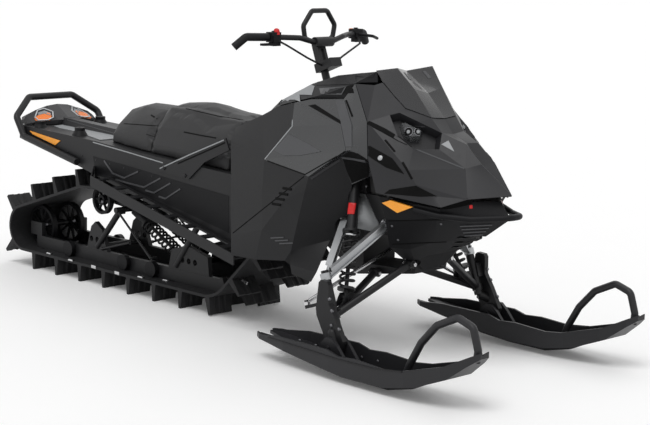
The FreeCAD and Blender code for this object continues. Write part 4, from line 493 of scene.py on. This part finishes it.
def made(name, points, faces, finish, body="chassis", both=True):
    """One mesh piece, with its mirror image in the same object or on the left body."""
    flipped = [face[::-1] for face in faces]
    pieces = [(name, points, faces, body)]
    if both and body.endswith("_right"):
        left = body.removesuffix("right") + "left"
        pieces.append((name + "_left", mirrored(points), flipped, left))
    elif both:
        pieces = [(name, *joined([(points, faces), (mirrored(points), flipped)]), body)]
    for label, spots, sides, carrier in pieces:
        mesh = bpy.data.meshes.new(label)
        mesh.from_pydata([tuple(p) for p in spots], [], [tuple(f) for f in sides])
        mesh.materials.append(finish)
        piece = bpy.data.objects.new(label, mesh)
        bpy.context.scene.collection.objects.link(piece)
        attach(piece, carrier)


def spaced(line, step, closed=False):
    """Points along a line of pixels, no further apart than a step."""
    ends = [Vector(p) for p in line]
    found = []
    for a, b in zip(ends, ends[1:] + (ends[:1] if closed else [])):
        count = max(1, round((b - a).length / step))
        found += [a.lerp(b, i / count) for i in range(count)]
    return found if closed else found + [ends[-1]]


def inside(spot, outline):
    """True where a pixel lies inside an outline."""
    odd = False
    for a, b in zip(outline, outline[1:] + outline[:1]):
        if (a.y > spot.y) != (b.y > spot.y):
            if spot.x < a.x + (spot.y - a.y) * (b.x - a.x) / (b.y - a.y):
                odd = not odd
    return odd


SUNK = 0.001  # how far a rim goes down into the skin, in metres
INSIDE_ONLY, MERGE = 1, 0.0001  # what a triangulation keeps, and how near two pixels join


def patch(name, outline, names, finish, lift=0.0015, step=5.0, both=True):
    """A thin panel laid on the skin, with a rim that goes down into it."""
    rim = spaced(outline, step, True)
    middle = sum(rim, Vector((0, 0))) / len(rim)
    low = [min(p[i] for p in rim) for i in (0, 1)]
    high = [max(p[i] for p in rim) for i in (0, 1)]
    fill = []
    for column in range(1, int((high[0] - low[0]) / step)):
        for row in range(1, int((high[1] - low[1]) / step)):
            spot = Vector((low[0] + column * step, low[1] + row * step))
            if inside(spot, rim) and min((spot - p).length for p in rim) > step / 2:
                fill.append(spot)
    loop = [(i, (i + 1) % len(rim)) for i in range(len(rim))]
    flat, _, corners, *_ = geometry.delaunay_2d_cdt(rim + fill, loop, [], INSIDE_ONLY, MERGE)
    landed = [landing(p, names, middle) for p in flat]
    if None in landed:
        print(name, "misses the skin")
        return
    top = [spot + facing * lift for spot, facing in landed]
    base = [spot - facing * SUNK for spot, facing in landed]
    faces = [list(f) for f in corners]
    edges = [edge for face in faces for edge in zip(face, face[1:] + face[:1])]
    inner = set(edges)
    walls = [[a, a + len(top), b + len(top), b] for a, b in edges if (b, a) not in inner]
    made(name, top + base, faces + walls, finish, both=both)


def strip(
    name, line, names, width, finish, rise=0.0015, body="chassis", both=True, step=3.0, crest=0.7,
):
    """A raised line along the skin, such as a lip or a seam, narrower at its crest."""
    landed = [landing(p, names, line[len(line) // 2]) for p in spaced(line, step)]
    if None in landed:
        print(name, "misses the skin")
        return
    points, faces = [], []
    for i, (spot, facing) in enumerate(landed):
        ahead = landed[min(i + 1, len(landed) - 1)][0] - landed[max(i - 1, 0)][0]
        side = facing.cross(ahead).normalized() * width / 2
        points += [
            spot - side - facing * SUNK, spot - side * crest + facing * rise,
            spot + side * crest + facing * rise, spot + side - facing * SUNK,
        ]
        if i:
            faces += [[4 * i - 4 + k, 4 * i - 3 + k, 4 * i + 1 + k, 4 * i + k] for k in range(3)]
    faces += [[0, 1, 2, 3][::-1], [len(points) - 4 + k for k in range(4)]]
    made(name, points, faces, finish, body, both)


def dome(spot, facing, radius, height, sides=12, rings=3, close=0.85):
    """Points and faces of a low domed head: a rivet, a button or a bolt's cap."""
    across = facing.orthogonal().normalized()
    along = facing.cross(across)
    points, faces = [], []
    for ring in range(rings + 1):
        angle = ring / rings * math.pi / 2
        reach = radius * (1 if ring == 0 else math.cos(angle * close))
        level = -SUNK if ring == 0 else height * math.sin(angle)
        for k in range(sides):
            bend = k / sides * math.tau
            out = across * math.cos(bend) + along * math.sin(bend)
            points.append(spot + facing * level + out * reach)
    for ring in range(rings):
        for k in range(sides):
            a, b = ring * sides + k, ring * sides + (k + 1) % sides
            faces.append([a, b, b + sides, a + sides])
    faces.append([rings * sides + k for k in range(sides)])
    return points, faces


def studs(name, places, names, radius, finish, height=None, body="chassis", sides=12):
    """Several heads of one size in one object, each on the skin behind its pixel."""
    heads = []
    for pixel in places:
        landed = landing(pixel, names)
        if landed is None:
            print(name, pixel, "misses the skin")
        else:
            heads.append(dome(*landed, radius, height or radius * 0.5, sides))
    if heads:
        made(name, *joined(heads), finish, body)


def disc(middle, radius, corners=14):
    """A round outline in pixels."""
    bends = [k / corners * math.tau for k in range(corners)]
    return [
        (middle[0] + radius * math.cos(bend), middle[1] + radius * math.sin(bend)) for bend in bends
    ]


print("trim tools ready")

# %% [markdown]
# ## The seat
# The seat is soft, so it isn't drawn hard. Each cushion starts as a plain shape lofted through a
# few cross sections, is remeshed into an even net of small faces and blown up as a cloth bag,
# with its underside held to the tunnel. The bag settles in twenty frames. A cap of a few
# millimetres keeps it from swelling off its shape, as foam under a stretched cover does.

# %% Cushion sections
# Each row: a place along the machine, then half a cross section from the foot to the crest.
REAR_SECTIONS = (
    (-0.846, (0.143, 0.6665), (0.140, 0.700), (0.112, 0.735), (0.050, 0.775), (0.000, 0.780)),
    (-0.822, (0.161, 0.6640), (0.158, 0.700), (0.124, 0.747), (0.055, 0.806), (0.000, 0.813)),
    (-0.720, (0.169, 0.6575), (0.166, 0.695), (0.140, 0.753), (0.064, 0.830), (0.000, 0.841)),
    (-0.590, (0.175, 0.6500), (0.172, 0.690), (0.145, 0.758), (0.072, 0.832), (0.000, 0.842)),
    (-0.540, (0.176, 0.6480), (0.173, 0.688), (0.146, 0.760), (0.074, 0.832), (0.000, 0.842)),
)
SADDLE_SECTIONS = (
    (-0.536, (0.176, 0.6480), (0.173, 0.688), (0.150, 0.760), (0.088, 0.835), (0.000, 0.848)),
    (-0.490, (0.177, 0.6460), (0.174, 0.688), (0.152, 0.762), (0.104, 0.850), (0.000, 0.864)),
    (-0.320, (0.180, 0.6400), (0.176, 0.684), (0.155, 0.760), (0.108, 0.855), (0.000, 0.873)),
    (-0.160, (0.180, 0.6340), (0.176, 0.680), (0.156, 0.758), (0.106, 0.838), (0.000, 0.848)),
    (-0.026, (0.180, 0.6285), (0.176, 0.676), (0.156, 0.756), (0.104, 0.832), (0.000, 0.838)),
)
FRAMES = 20  # of cloth motion
SWELL = 0.005  # the most a cover stands off its plain shape, in metres
NET = 0.006  # the size of a face in a cover's net
UNDERSIDE = -0.5  # a face that looks further down than this is held
PRESSURE, WEIGHT = 4, 0.3  # of the foam under a cover, and of the cover
STRETCH, BEND = 20, 4  # how stiff a cover is


def loft(sections):
    """A closed shape through its sections, the same on both sides."""
    points, faces = [], []
    rings = []
    for along, *half in sections:
        ring = [Vector((along + MIDDLE, -y, z)) for y, z in half]
        ring += [Vector((along + MIDDLE, y, z)) for y, z in half[-2::-1]]
        rings.append(list(range(len(points), len(points) + len(ring))))
        points += ring
    for rear, front in zip(rings, rings[1:]):
        for k in range(len(rear)):
            n = (k + 1) % len(rear)
            faces.append([rear[k], rear[n], front[n], front[k]])
    faces += [rings[0][::-1], rings[-1]]
    return points, faces


def settled(body):
    """The body's mesh as its modifiers leave it."""
    graph = bpy.context.evaluated_depsgraph_get()
    return bpy.data.meshes.new_from_object(body.evaluated_get(graph))


def stuffed(name, sections, node, finish):
    """A cushion cover: lofted, remeshed, blown up, capped and smoothed."""
    points, faces = loft(sections)
    mesh = bpy.data.meshes.new(name)
    mesh.from_pydata([tuple(p) for p in points], [], faces)
    cover = bpy.data.objects.new(name, mesh)
    bpy.context.scene.collection.objects.link(cover)
    plain = BVHTree.FromPolygons(points, faces)
    net = cover.modifiers.new("net", "REMESH")
    net.mode = "VOXEL"
    net.voxel_size = NET
    even = settled(cover)
    cover.modifiers.clear()
    cover.data = even
    held = cover.vertex_groups.new(name="underside")
    held.add([v.index for v in even.vertices if v.normal.z < UNDERSIDE], 1.0, "REPLACE")
    foam = cover.modifiers.new("foam", "CLOTH")
    foam.settings.quality = 5
    foam.settings.mass = WEIGHT
    foam.settings.tension_stiffness = foam.settings.compression_stiffness = STRETCH
    foam.settings.bending_stiffness = BEND
    foam.settings.use_pressure = True
    foam.settings.uniform_pressure_force = PRESSURE
    foam.settings.effector_weights.gravity = 0
    foam.settings.vertex_group_mass = "underside"
    foam.point_cache.frame_start = 1
    foam.point_cache.frame_end = FRAMES
    for number in range(1, FRAMES + 1):
        bpy.context.scene.frame_set(number)
    blown = settled(cover)
    cover.modifiers.clear()
    cover.data = blown
    bpy.context.scene.frame_set(1)
    for corner in blown.vertices:
        near, _, _, away = plain.find_nearest(corner.co)
        if away > SWELL:
            corner.co = near + (corner.co - near).normalized() * SWELL
    cover.data.polygons.foreach_set("use_smooth", [True] * len(cover.data.polygons))
    cover.data.materials.clear()
    cover.data.materials.append(finish)
    fine = cover.modifiers.new("fine", "SUBSURF")
    fine.levels = fine.render_levels = 1
    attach(cover, "chassis")
    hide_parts(node)
    covers[name] = cover


stuffed("rear_cushion", REAR_SECTIONS, "seat_rear", seat_vinyl)
stuffed("saddle_cushion", SADDLE_SECTIONS, "seat_saddle", seat_vinyl)
print("cushions", {name: len(cover.data.vertices) for name, cover in covers.items()})

# %% Seat seams
# The dark strips along the piping and the stitched folds are painted shade in the creases; they
# are laid on the finished covers, where the photograph shows them.
bpy.context.view_layer.update()
REAR, SADDLE = ("rear_cushion",), ("saddle_cushion",)
strip("rear_fold", [(124, 123.6), (148.6, 125.3), (170, 127)], REAR, 0.004, dark_trim_and_painted_shade)
strip("rear_fold_low", [(146.4, 134.2), (165.9, 140.7), (178, 144.6)], REAR, 0.003, dark_trim_and_painted_shade)
strip("saddle_fold", [(186, 108.6), (218, 116), (243, 120)], SADDLE, 0.004, dark_trim_and_painted_shade)
strip("saddle_foot", [(184, 132), (200, 135.2), (216, 138)], SADDLE, 0.006, dark_trim_and_painted_shade)
patch("rear_tab", [
    (167.9, 117.9), (172, 116), (172, 124.6), (167.9, 124.2),
], REAR, grey_trim_and_painted_highlight, 0.002, 2.5, both=False)
strip("rear_mark", [(151.3, 115.1), (157.2, 118.9)], REAR, 0.008, dark_trim_and_painted_shade, 0.002, both=False)
print("seat seams laid")

# %% [markdown]
# ## Console and hood trim
# The console ahead of the saddle has a pale shoulder, a dark cap along its top and an inset
# window. The hood is faceted: dark bands and slits part the facets, with painted shade in the
# slits, and a pale strip is a painted highlight where a facet turns up into the light.

# %% Console
CONSOLE = ("console", "upper_panel_right", "upper_panel_left")
patch("console_shoulder", [
    (279.7, 103.3), (287.7, 94.1), (293.5, 90.7), (300.4, 87.8), (310.7, 84.9), (314.7, 86.1),
    (311.8, 95.3), (309.6, 99.3), (300.4, 101.6), (293.5, 104.4), (284.3, 105),
], CONSOLE, light_grey)
strip("console_hook_front", [(287, 94.7), (293.5, 90.7)], CONSOLE, 0.010, dark_trim_and_painted_shade, 0.004)
strip("console_hook_rear", [(278.8, 104.3), (282.3, 100.4)], CONSOLE, 0.010, dark_trim_and_painted_shade, 0.004)
patch("console_cap", [
    (312.8, 82.5), (379.6, 72.1), (380.4, 83.4), (316.4, 85.3),
], CONSOLE, panel_dark)
patch("console_inset", [
    (319.3, 88.4), (346.3, 86.6), (341.7, 94.7), (321, 94.1),
], CONSOLE, pale_trim_and_painted_highlight)
patch("console_window", [
    (342.8, 93.5), (347.4, 86.1), (352, 85.5), (353.8, 93),
], CONSOLE, dark_trim_and_painted_shade, 0.002)

# %% Upper panels
UPPER = ("upper_panel_right", "upper_panel_left", "console", "hood")
# The pale and grey strips along the top and rear edges are painted highlights; the black strip
# along the low edge is painted shade under it.
strip("upper_edge_rear", [(292.9, 104.9), (292.3, 126.3), (264.9, 159.2)], UPPER, 0.006, grey_trim_and_painted_highlight)
strip("upper_edge_top", [(296.9, 102.6), (340.6, 125.1), (345.3, 150.0)], UPPER, 0.004, pale_trim_and_painted_highlight)
strip("upper_edge_low", [(265, 159.9), (305, 174.5), (344.6, 151.8)], UPPER, 0.005, dark_trim_and_painted_shade)
patch("upper_band", [
    (308.4, 105.6), (315.3, 104.4), (340.6, 120.5), (340.6, 124),
], UPPER, dark_trim_and_painted_shade)
patch("upper_pillar", [
    (336, 100.4), (344.6, 100.4), (352, 125.1), (352, 146.9), (346.3, 146.9), (341.7, 125.1),
], UPPER, pale_trim_and_painted_highlight, 0.002)
# The dark slit is painted shade.
strip("upper_slit", [(346.2, 100.4), (352.4, 116.5)], UPPER, 0.007, dark_trim_and_painted_shade, 0.003)
patch("upper_swoosh", [
    (274, 150.4), (288.9, 134.3), (307.3, 143.5), (321, 151.5), (300.4, 155.5), (284.3, 155.5),
], UPPER, pale_trim_and_painted_highlight)

# %% Side panels
SIDE = ("side_panel_right", "side_panel_left")
ARCH = SIDE + ("upper_panel_right", "upper_panel_left", "hood", "front_shocks")
# A painted shadow fills the wheel arch; the pale strip along its lip is a painted highlight.
patch("arch_shadow", [
    (342.5, 156.5), (349, 151.5), (358, 153.5), (367.4, 159.5),
    (369.4, 171), (368.6, 176), (352, 183), (347, 170),
], ARCH, dark_trim_and_painted_shade, 0.003, 3.0)
strip("arch_lip", [(342.5, 156.8), (354, 158.6), (366.2, 161)], ARCH, 0.012, pale_trim_and_painted_highlight, 0.006)
strip("arch_lip_rear", [(340, 159.6), (326, 168.4), (311, 178.6)], ARCH, 0.012, panel_black, 0.003)
# Dark strips in the vents are painted shade.
for row in range(4):
    back, down = row * 3.6, row * 5.2
    strip(f"side_vent_{row}", [
        (283 - back, 188 + down), (291.5 - back, 189.5 + down),
    ], SIDE, 0.011, dark_trim_and_painted_shade, 0.003)
# The pale strips on the vent lips are painted highlights.
for row in range(3):
    ahead, down = row * 4.4, row * 2.8
    strip(f"side_vent_lip_{row}", [
        (271 + ahead, 238 + down), (284 + ahead, 237.4 + down),
    ], SIDE, 0.006, pale_trim_and_painted_highlight, 0.003)
# The dark seam line is painted shade between the panels.
strip("side_seam", [(304, 176.5), (268, 205), (233, 233)], SIDE, 0.004, dark_trim_and_painted_shade)

# %% Hood
HOOD = ("hood",)
patch("hood_band", [
    (357, 138.7), (392.3, 158.3), (404.1, 174), (385.8, 167.4), (367.5, 155.7),
], HOOD, dark_trim_and_painted_shade)
studs("hood_rivet", [(380.3, 158)], HOOD, 0.011, cast_silver)
patch("hood_blade", [
    (353.8, 116.6), (370, 121.4), (385, 128.6), (400, 137.6),
    (411.5, 147), (398, 141), (383, 132.6), (368, 124.6),
], HOOD, dark_trim_and_painted_shade, 0.003)
# The dark slits are painted shade.
strip("hood_slit_high", [(385.1, 140), (394.9, 151.7)], HOOD, 0.010, dark_trim_and_painted_shade)
strip("hood_slit_low", [(402.7, 162.2), (411.9, 179.2)], HOOD, 0.010, dark_trim_and_painted_shade)
patch("hood_triangle", [(441.3, 144.5), (448.5, 140.6), (454.4, 151.7)], HOOD, grey_trim_and_painted_highlight)
# A painted highlight along the crease, where the facet turns up into the light.
strip("hood_crease", [(413.9, 148.5), (464.2, 168.7)], HOOD, 0.008, pale_trim_and_painted_highlight)
patch("hood_inset", [
    (384.4, 193.6), (389.7, 189.6), (415.8, 185.7), (436.7, 196.2), (421, 196.8),
], HOOD, dark_trim_and_painted_shade)

# %% Nose and belly
NOSE = ("belly_pan", "nose_bumper", "hood")
# The dark seam lines are painted shade between the pieces.
strip("belly_seam_high", [(385, 221), (444, 219.7)], NOSE, 0.005, dark_trim_and_painted_shade)
strip("belly_seam_low", [(388.8, 244.5), (446.8, 241.9)], NOSE, 0.005, dark_trim_and_painted_shade)
for row in range(4):
    down = row * 3.2
    strip(f"belly_slat_{row}", [
        (460 + row * 1.5, 226 + down), (492 - row * 3, 224.6 + down),
    ], NOSE, 0.007, pale_trim_and_painted_highlight, 0.003)
studs("belly_screws", [(392, 226), (441, 224), (398, 240)], NOSE, 0.005, dull_steel)


def web(name, edges, finish):
    """A closing sheet between two lines of pixels, each on its own pieces."""
    upper, lower = [[landing(pixel, names)[0] for pixel in line] for line, names in edges]
    count = len(upper)
    faces = [[i, i + 1, count + i + 1, count + i] for i in range(count - 1)]
    made(name, upper + lower, faces, finish)


# A dark sheet closes the gap between hood and belly pan as painted shade of the nose's interior.
web("nose_liner", (
    ([(441, 204.5), (449.5, 203.2), (460, 200.4), (472, 197)], HOOD),
    ([(441, 209.5), (449.5, 209), (460, 207), (472, 204)], ("belly_pan", "nose_bumper")),
), dark_trim_and_painted_shade)
patch("nose_accent", [
    (469.2, 205.4), (472.4, 204.9), (472.6, 208.4), (469.6, 208.8),
], NOSE, red_plastic)
print("body trim laid")

# %% [markdown]
# ## Head and tail lamps
# Each half of the head lamp has two round bowls behind one clear lens. The tail has a silver
# frame round each orange lens and a grey shade along the lens's top.

# %% Head lamp
LAMP = ("headlights", "hood")
for index, middle in enumerate([(408.6, 131.5), (418.4, 131.5)]):
    patch(f"bowl_rim_{index}", disc(middle, 4.3), LAMP, dull_steel, 0.001, 2.5)
    patch(f"bowl_{index}", disc(middle, 3.7), LAMP, dark_trim_and_painted_shade, 0.002, 2.0)
    # A small grey disc in each bowl is a painted glint.
    painted_glint = disc((middle[0] - 0.4, middle[1] + 0.6), 1.7)
    patch(f"bowl_glass_{index}", painted_glint, LAMP, grey_trim_and_painted_highlight, 0.004, 1.5)
strip("lamp_brow", [(403.4, 125.4), (425, 126.8)], LAMP, 0.005, pale_trim_and_painted_highlight)

# %% Shield
SHIELD = ("windshield",)
patch("shield_stripe", [
    (422.4, 71.5), (425.6, 71.1), (431.2, 77.7), (428.6, 78.9),
], SHIELD, pale_trim_and_painted_highlight)
strip("shield_rim", [
    (376.5, 72), (383.6, 84.6), (405.6, 109.2), (431.2, 117),
], SHIELD, 0.006, panel_dark, 0.003)

# %% Tail
TAIL = ("tail_lamps", "tail_housing")
patch("tail_lens_shade", [
    (38, 112.6), (44.4, 110.6), (51, 113.2), (50.6, 115.6), (44.4, 113.6), (38.4, 115.2),
], TAIL, light_grey, 0.001, 2.0)
strip("tail_frame", [
    (35, 117.4), (37.4, 110.6), (44, 108.6), (52.6, 111.8),
    (53.2, 117.6), (48, 120), (38.5, 120.4), (35, 117.4),
], TAIL, 0.008, cast_silver, 0.003, step=2.0)
DECK = ("tail_housing", "deck_panels")
# The pale strip along the ridge is a painted highlight.
strip("tail_ridge_edge", [(67, 119.8), (117, 134.2)], DECK, 0.005, pale_trim_and_painted_highlight)
print("lamps and tail trimmed")

# %% [markdown]
# ## Tunnel and board trim
# The tunnel is folded aluminium under black coat. Chevrons stand out on its flank, rivets run
# along its top edge, and a grey strip there is a painted highlight. The foot braces' rolled edge
# carries a painted highlight too, and their slot is painted shade.

# %% Tunnel
FLANK = ("tunnel",)
patch("tunnel_flank", [
    (93, 156), (130, 166.4), (170, 178.6), (200, 187.4), (229, 195.8),
    (229, 233), (200, 219), (160, 200.6), (120, 184), (96, 174),
], FLANK, panel_dark, 0.001, 7.0)
FLANK_LINES = (
    [(104.5, 160.6), (112.8, 173.2), (124.4, 178), (138.5, 171.4)],
    [(116, 179.5), (129.4, 183.4), (144.3, 187.2), (160.9, 178.2)],
    [(146, 190.3), (154.2, 192.8), (170.8, 183.2)],
    [(159.2, 196.4), (165.8, 198.6), (180.8, 188.8)],
)
for row, line in enumerate(FLANK_LINES):
    strip(f"tunnel_chevron_{row}", line, FLANK, 0.009, pale_trim_and_painted_highlight, 0.004)
# The grey strip along the top edge is a painted highlight.
strip("tunnel_edge", [(93, 142.2), (128, 152.3), (163, 162.9)], FLANK, 0.006, grey_trim_and_painted_highlight, 0.001)
RIVETS = [(40 + 14 * k, 143.5 + 4.1 * k) for k in range(9)]
studs("tunnel_rivets", RIVETS, FLANK, 0.005, painted_black)
BRACE = ("foot_braces",)
# The grey strip on the rolled edge is a painted highlight; the dark slot is painted shade.
strip("brace_edge", [(160, 168.4), (190, 154.6), (224, 140)], BRACE, 0.006, grey_trim_and_painted_highlight, 0.002)
strip("brace_slot", [(178, 163.5), (203, 152.5), (227, 141.8)], BRACE, 0.007, dark_trim_and_painted_shade, 0.002)
studs("brace_bolts", [(164.3, 168.1), (185.2, 175.7)], BRACE, 0.009, painted_black, 0.007, sides=6)
print("tunnel and boards trimmed")

# %% [markdown]
# ## Running gear trim
# Steel clips on the track guide the slide rails, and dull caps close the wheel bearings. The
# front shocks carry a red label, and hex heads hold the arms, the spindles and the skis.

# %% Track clips
TRACK = ("track",)
CLIP = (0.034, 0.014, 0.006)  # length, width and height, in metres
CLIP_LEVELS = ((-SUNK, 1.0), (CLIP[2] * 0.6, 1.0), (CLIP[2], 0.7))  # heights and shares of the foot


def clip(spot, facing):
    """A small chamfered block on the skin, as long as the machine runs."""
    along = Vector((1, 0, 0))
    along = (along - facing * along.dot(facing)).normalized()
    across = facing.cross(along)
    points = []
    for level, share in CLIP_LEVELS:
        for a, b in ((-1, -1), (1, -1), (1, 1), (-1, 1)):
            points.append(
                spot + facing * level
                + along * a * CLIP[0] / 2 * share + across * b * CLIP[1] / 2 * share
            )
    faces = []
    for ring in (0, 4):
        for k in range(4):
            n = (k + 1) % 4
            faces.append([ring + k, ring + n, ring + 4 + n, ring + 4 + k])
    return points, faces + [[8, 9, 10, 11]]


CLIP_PLACES = (
    (49.5, 253.9), (71.4, 260.5), (93.9, 266.8), (117.3, 273), (141, 277.6),
    (166, 281), (192, 284), (218, 284.5), (244, 282),
)
landings = [landing(pixel, TRACK) for pixel in CLIP_PLACES]
clips = [clip(*landed) for landed in landings if landed]
made("track_clips", *joined(clips), steel)
print(len(clips), "clips")

# %% Wheel caps
WHEELS = ("idler_wheels",)
studs("wheel_caps", [(102.6, 201.5), (74, 221)], WHEELS, 0.010, dull_steel, 0.006)

# %% Front end
SHOCK = ("front_shocks", "front_springs")
strip("shock_label_0", [(352.4, 203), (350.6, 214)], SHOCK, 0.030, red_plastic, 0.002)
strip("shock_collar", [(346.3, 233.6), (355.6, 234.8)], SHOCK, 0.008, steel, 0.002)
ARMS = ("upper_arms", "lower_arms", "bulkhead", "bulkhead_plates", "belly_pan")
ARM_HEADS = [(331.5, 236), (384.5, 222), (374.8, 192), (366.5, 186)]
studs("arm_heads", ARM_HEADS, ARMS, 0.007, dull_steel, 0.005, sides=6)
SPINDLE = ("spindle_right",)
SPINDLE_HEADS = [(331.5, 325.5), (339, 329.5), (329.5, 299), (332, 311)]
studs("spindle_heads", SPINDLE_HEADS, SPINDLE, 0.008, dull_steel, 0.006, "upright_right", sides=6)

# %% Ski bolts and ribs
SKI = ("ski_right",)
strip("ski_rib_outer", [
    (268, 337.5), (300, 347.5), (336, 359), (372, 368.5), (402, 372),
], SKI, 0.007, painted_black, 0.003, "runner_right")
SKI_SCREWS = [(300, 340), (316, 345), (362, 357), (378, 361)]
studs("ski_screws", SKI_SCREWS, SKI, 0.006, dull_steel, 0.004, "runner_right", sides=6)

# %% Bar trim
BAR = ("bar_controls", "grips", "handlebar")
BUTTON_SHIFT = Vector((-0.012, 0, 0))
UP = Vector((0, 0, 1))
button_seat, _ = landing((278.6, 34.5), BAR)
button = dome(button_seat + BUTTON_SHIFT, UP, radius=0.015, height=0.024)
made("stop_button", *button, red_plastic, "handlebar_set", both=False)
strip("bar_mark", [
    (349.6, 28.9), (352.3, 28.6),
], BAR, 0.005, orange_plastic, 0.002, "handlebar_set", both=False)
print("running gear and bar trim laid")

# %% [markdown]
# ## Finishes on the CAD nodes
# Each node keeps its shape and gets the finish of the real piece. A table says which.

# %% Assign the finishes
FINISHES = {
    "panel_black": panel_black, "panel_dark": panel_dark, "rubber": track_rubber,
    "grip_rubber": grip_rubber, "seat_vinyl": seat_vinyl, "painted_black": painted_black,
    "cast_silver": cast_silver, "steel": steel, "clear_tint": smoked, "amber": amber,
    "lamp_clear": lens_clear, "lamp_red": lamp_orange, "cast_iron": cast_iron,
    "light_grey": light_grey,
}
SPECIAL = {
    "upper_panel_right": panel_gloss, "upper_panel_left": panel_gloss,
    "side_panel_right": panel_side, "side_panel_left": panel_side,
    "ski_right": panel_black, "ski_left": panel_black,
}
slot_of = {row["node"]: row["material_slot"] for row in frame["record"]["subparts"]}
for name, body in nodes.items():
    finish = SPECIAL.get(name, FINISHES[slot_of[name]])
    body.data.materials.clear()
    body.data.materials.append(finish)
print("finishes on", len(nodes), "nodes")

# %% [markdown]
# ## Floor
# One large pale plane. It is part of the studio, not of the machine.

# %% Floor
FLOOR_SIZE = 160  # metres, so that its edge is never in view
FLOOR_GAP = 0.0005
bpy.ops.mesh.primitive_plane_add(size=FLOOR_SIZE, location=(0, 0, cad_box[0][2] - FLOOR_GAP))
floor = bpy.context.object
floor.name = "floor"
ground = Graph("floor_paper")
paper = ground.noise(2, detail=2)
ground.set(
    Base_Color=ground.mix(paper, (0.96, 0.96, 0.96, 1), (0.98, 0.98, 0.98, 1)), Roughness=0.9,
    Specular_IOR_Level=0.1, Emission_Color=(1, 1, 1, 1), Emission_Strength=0.07,
)
floor.data.materials.append(ground.material)
print("floor laid")
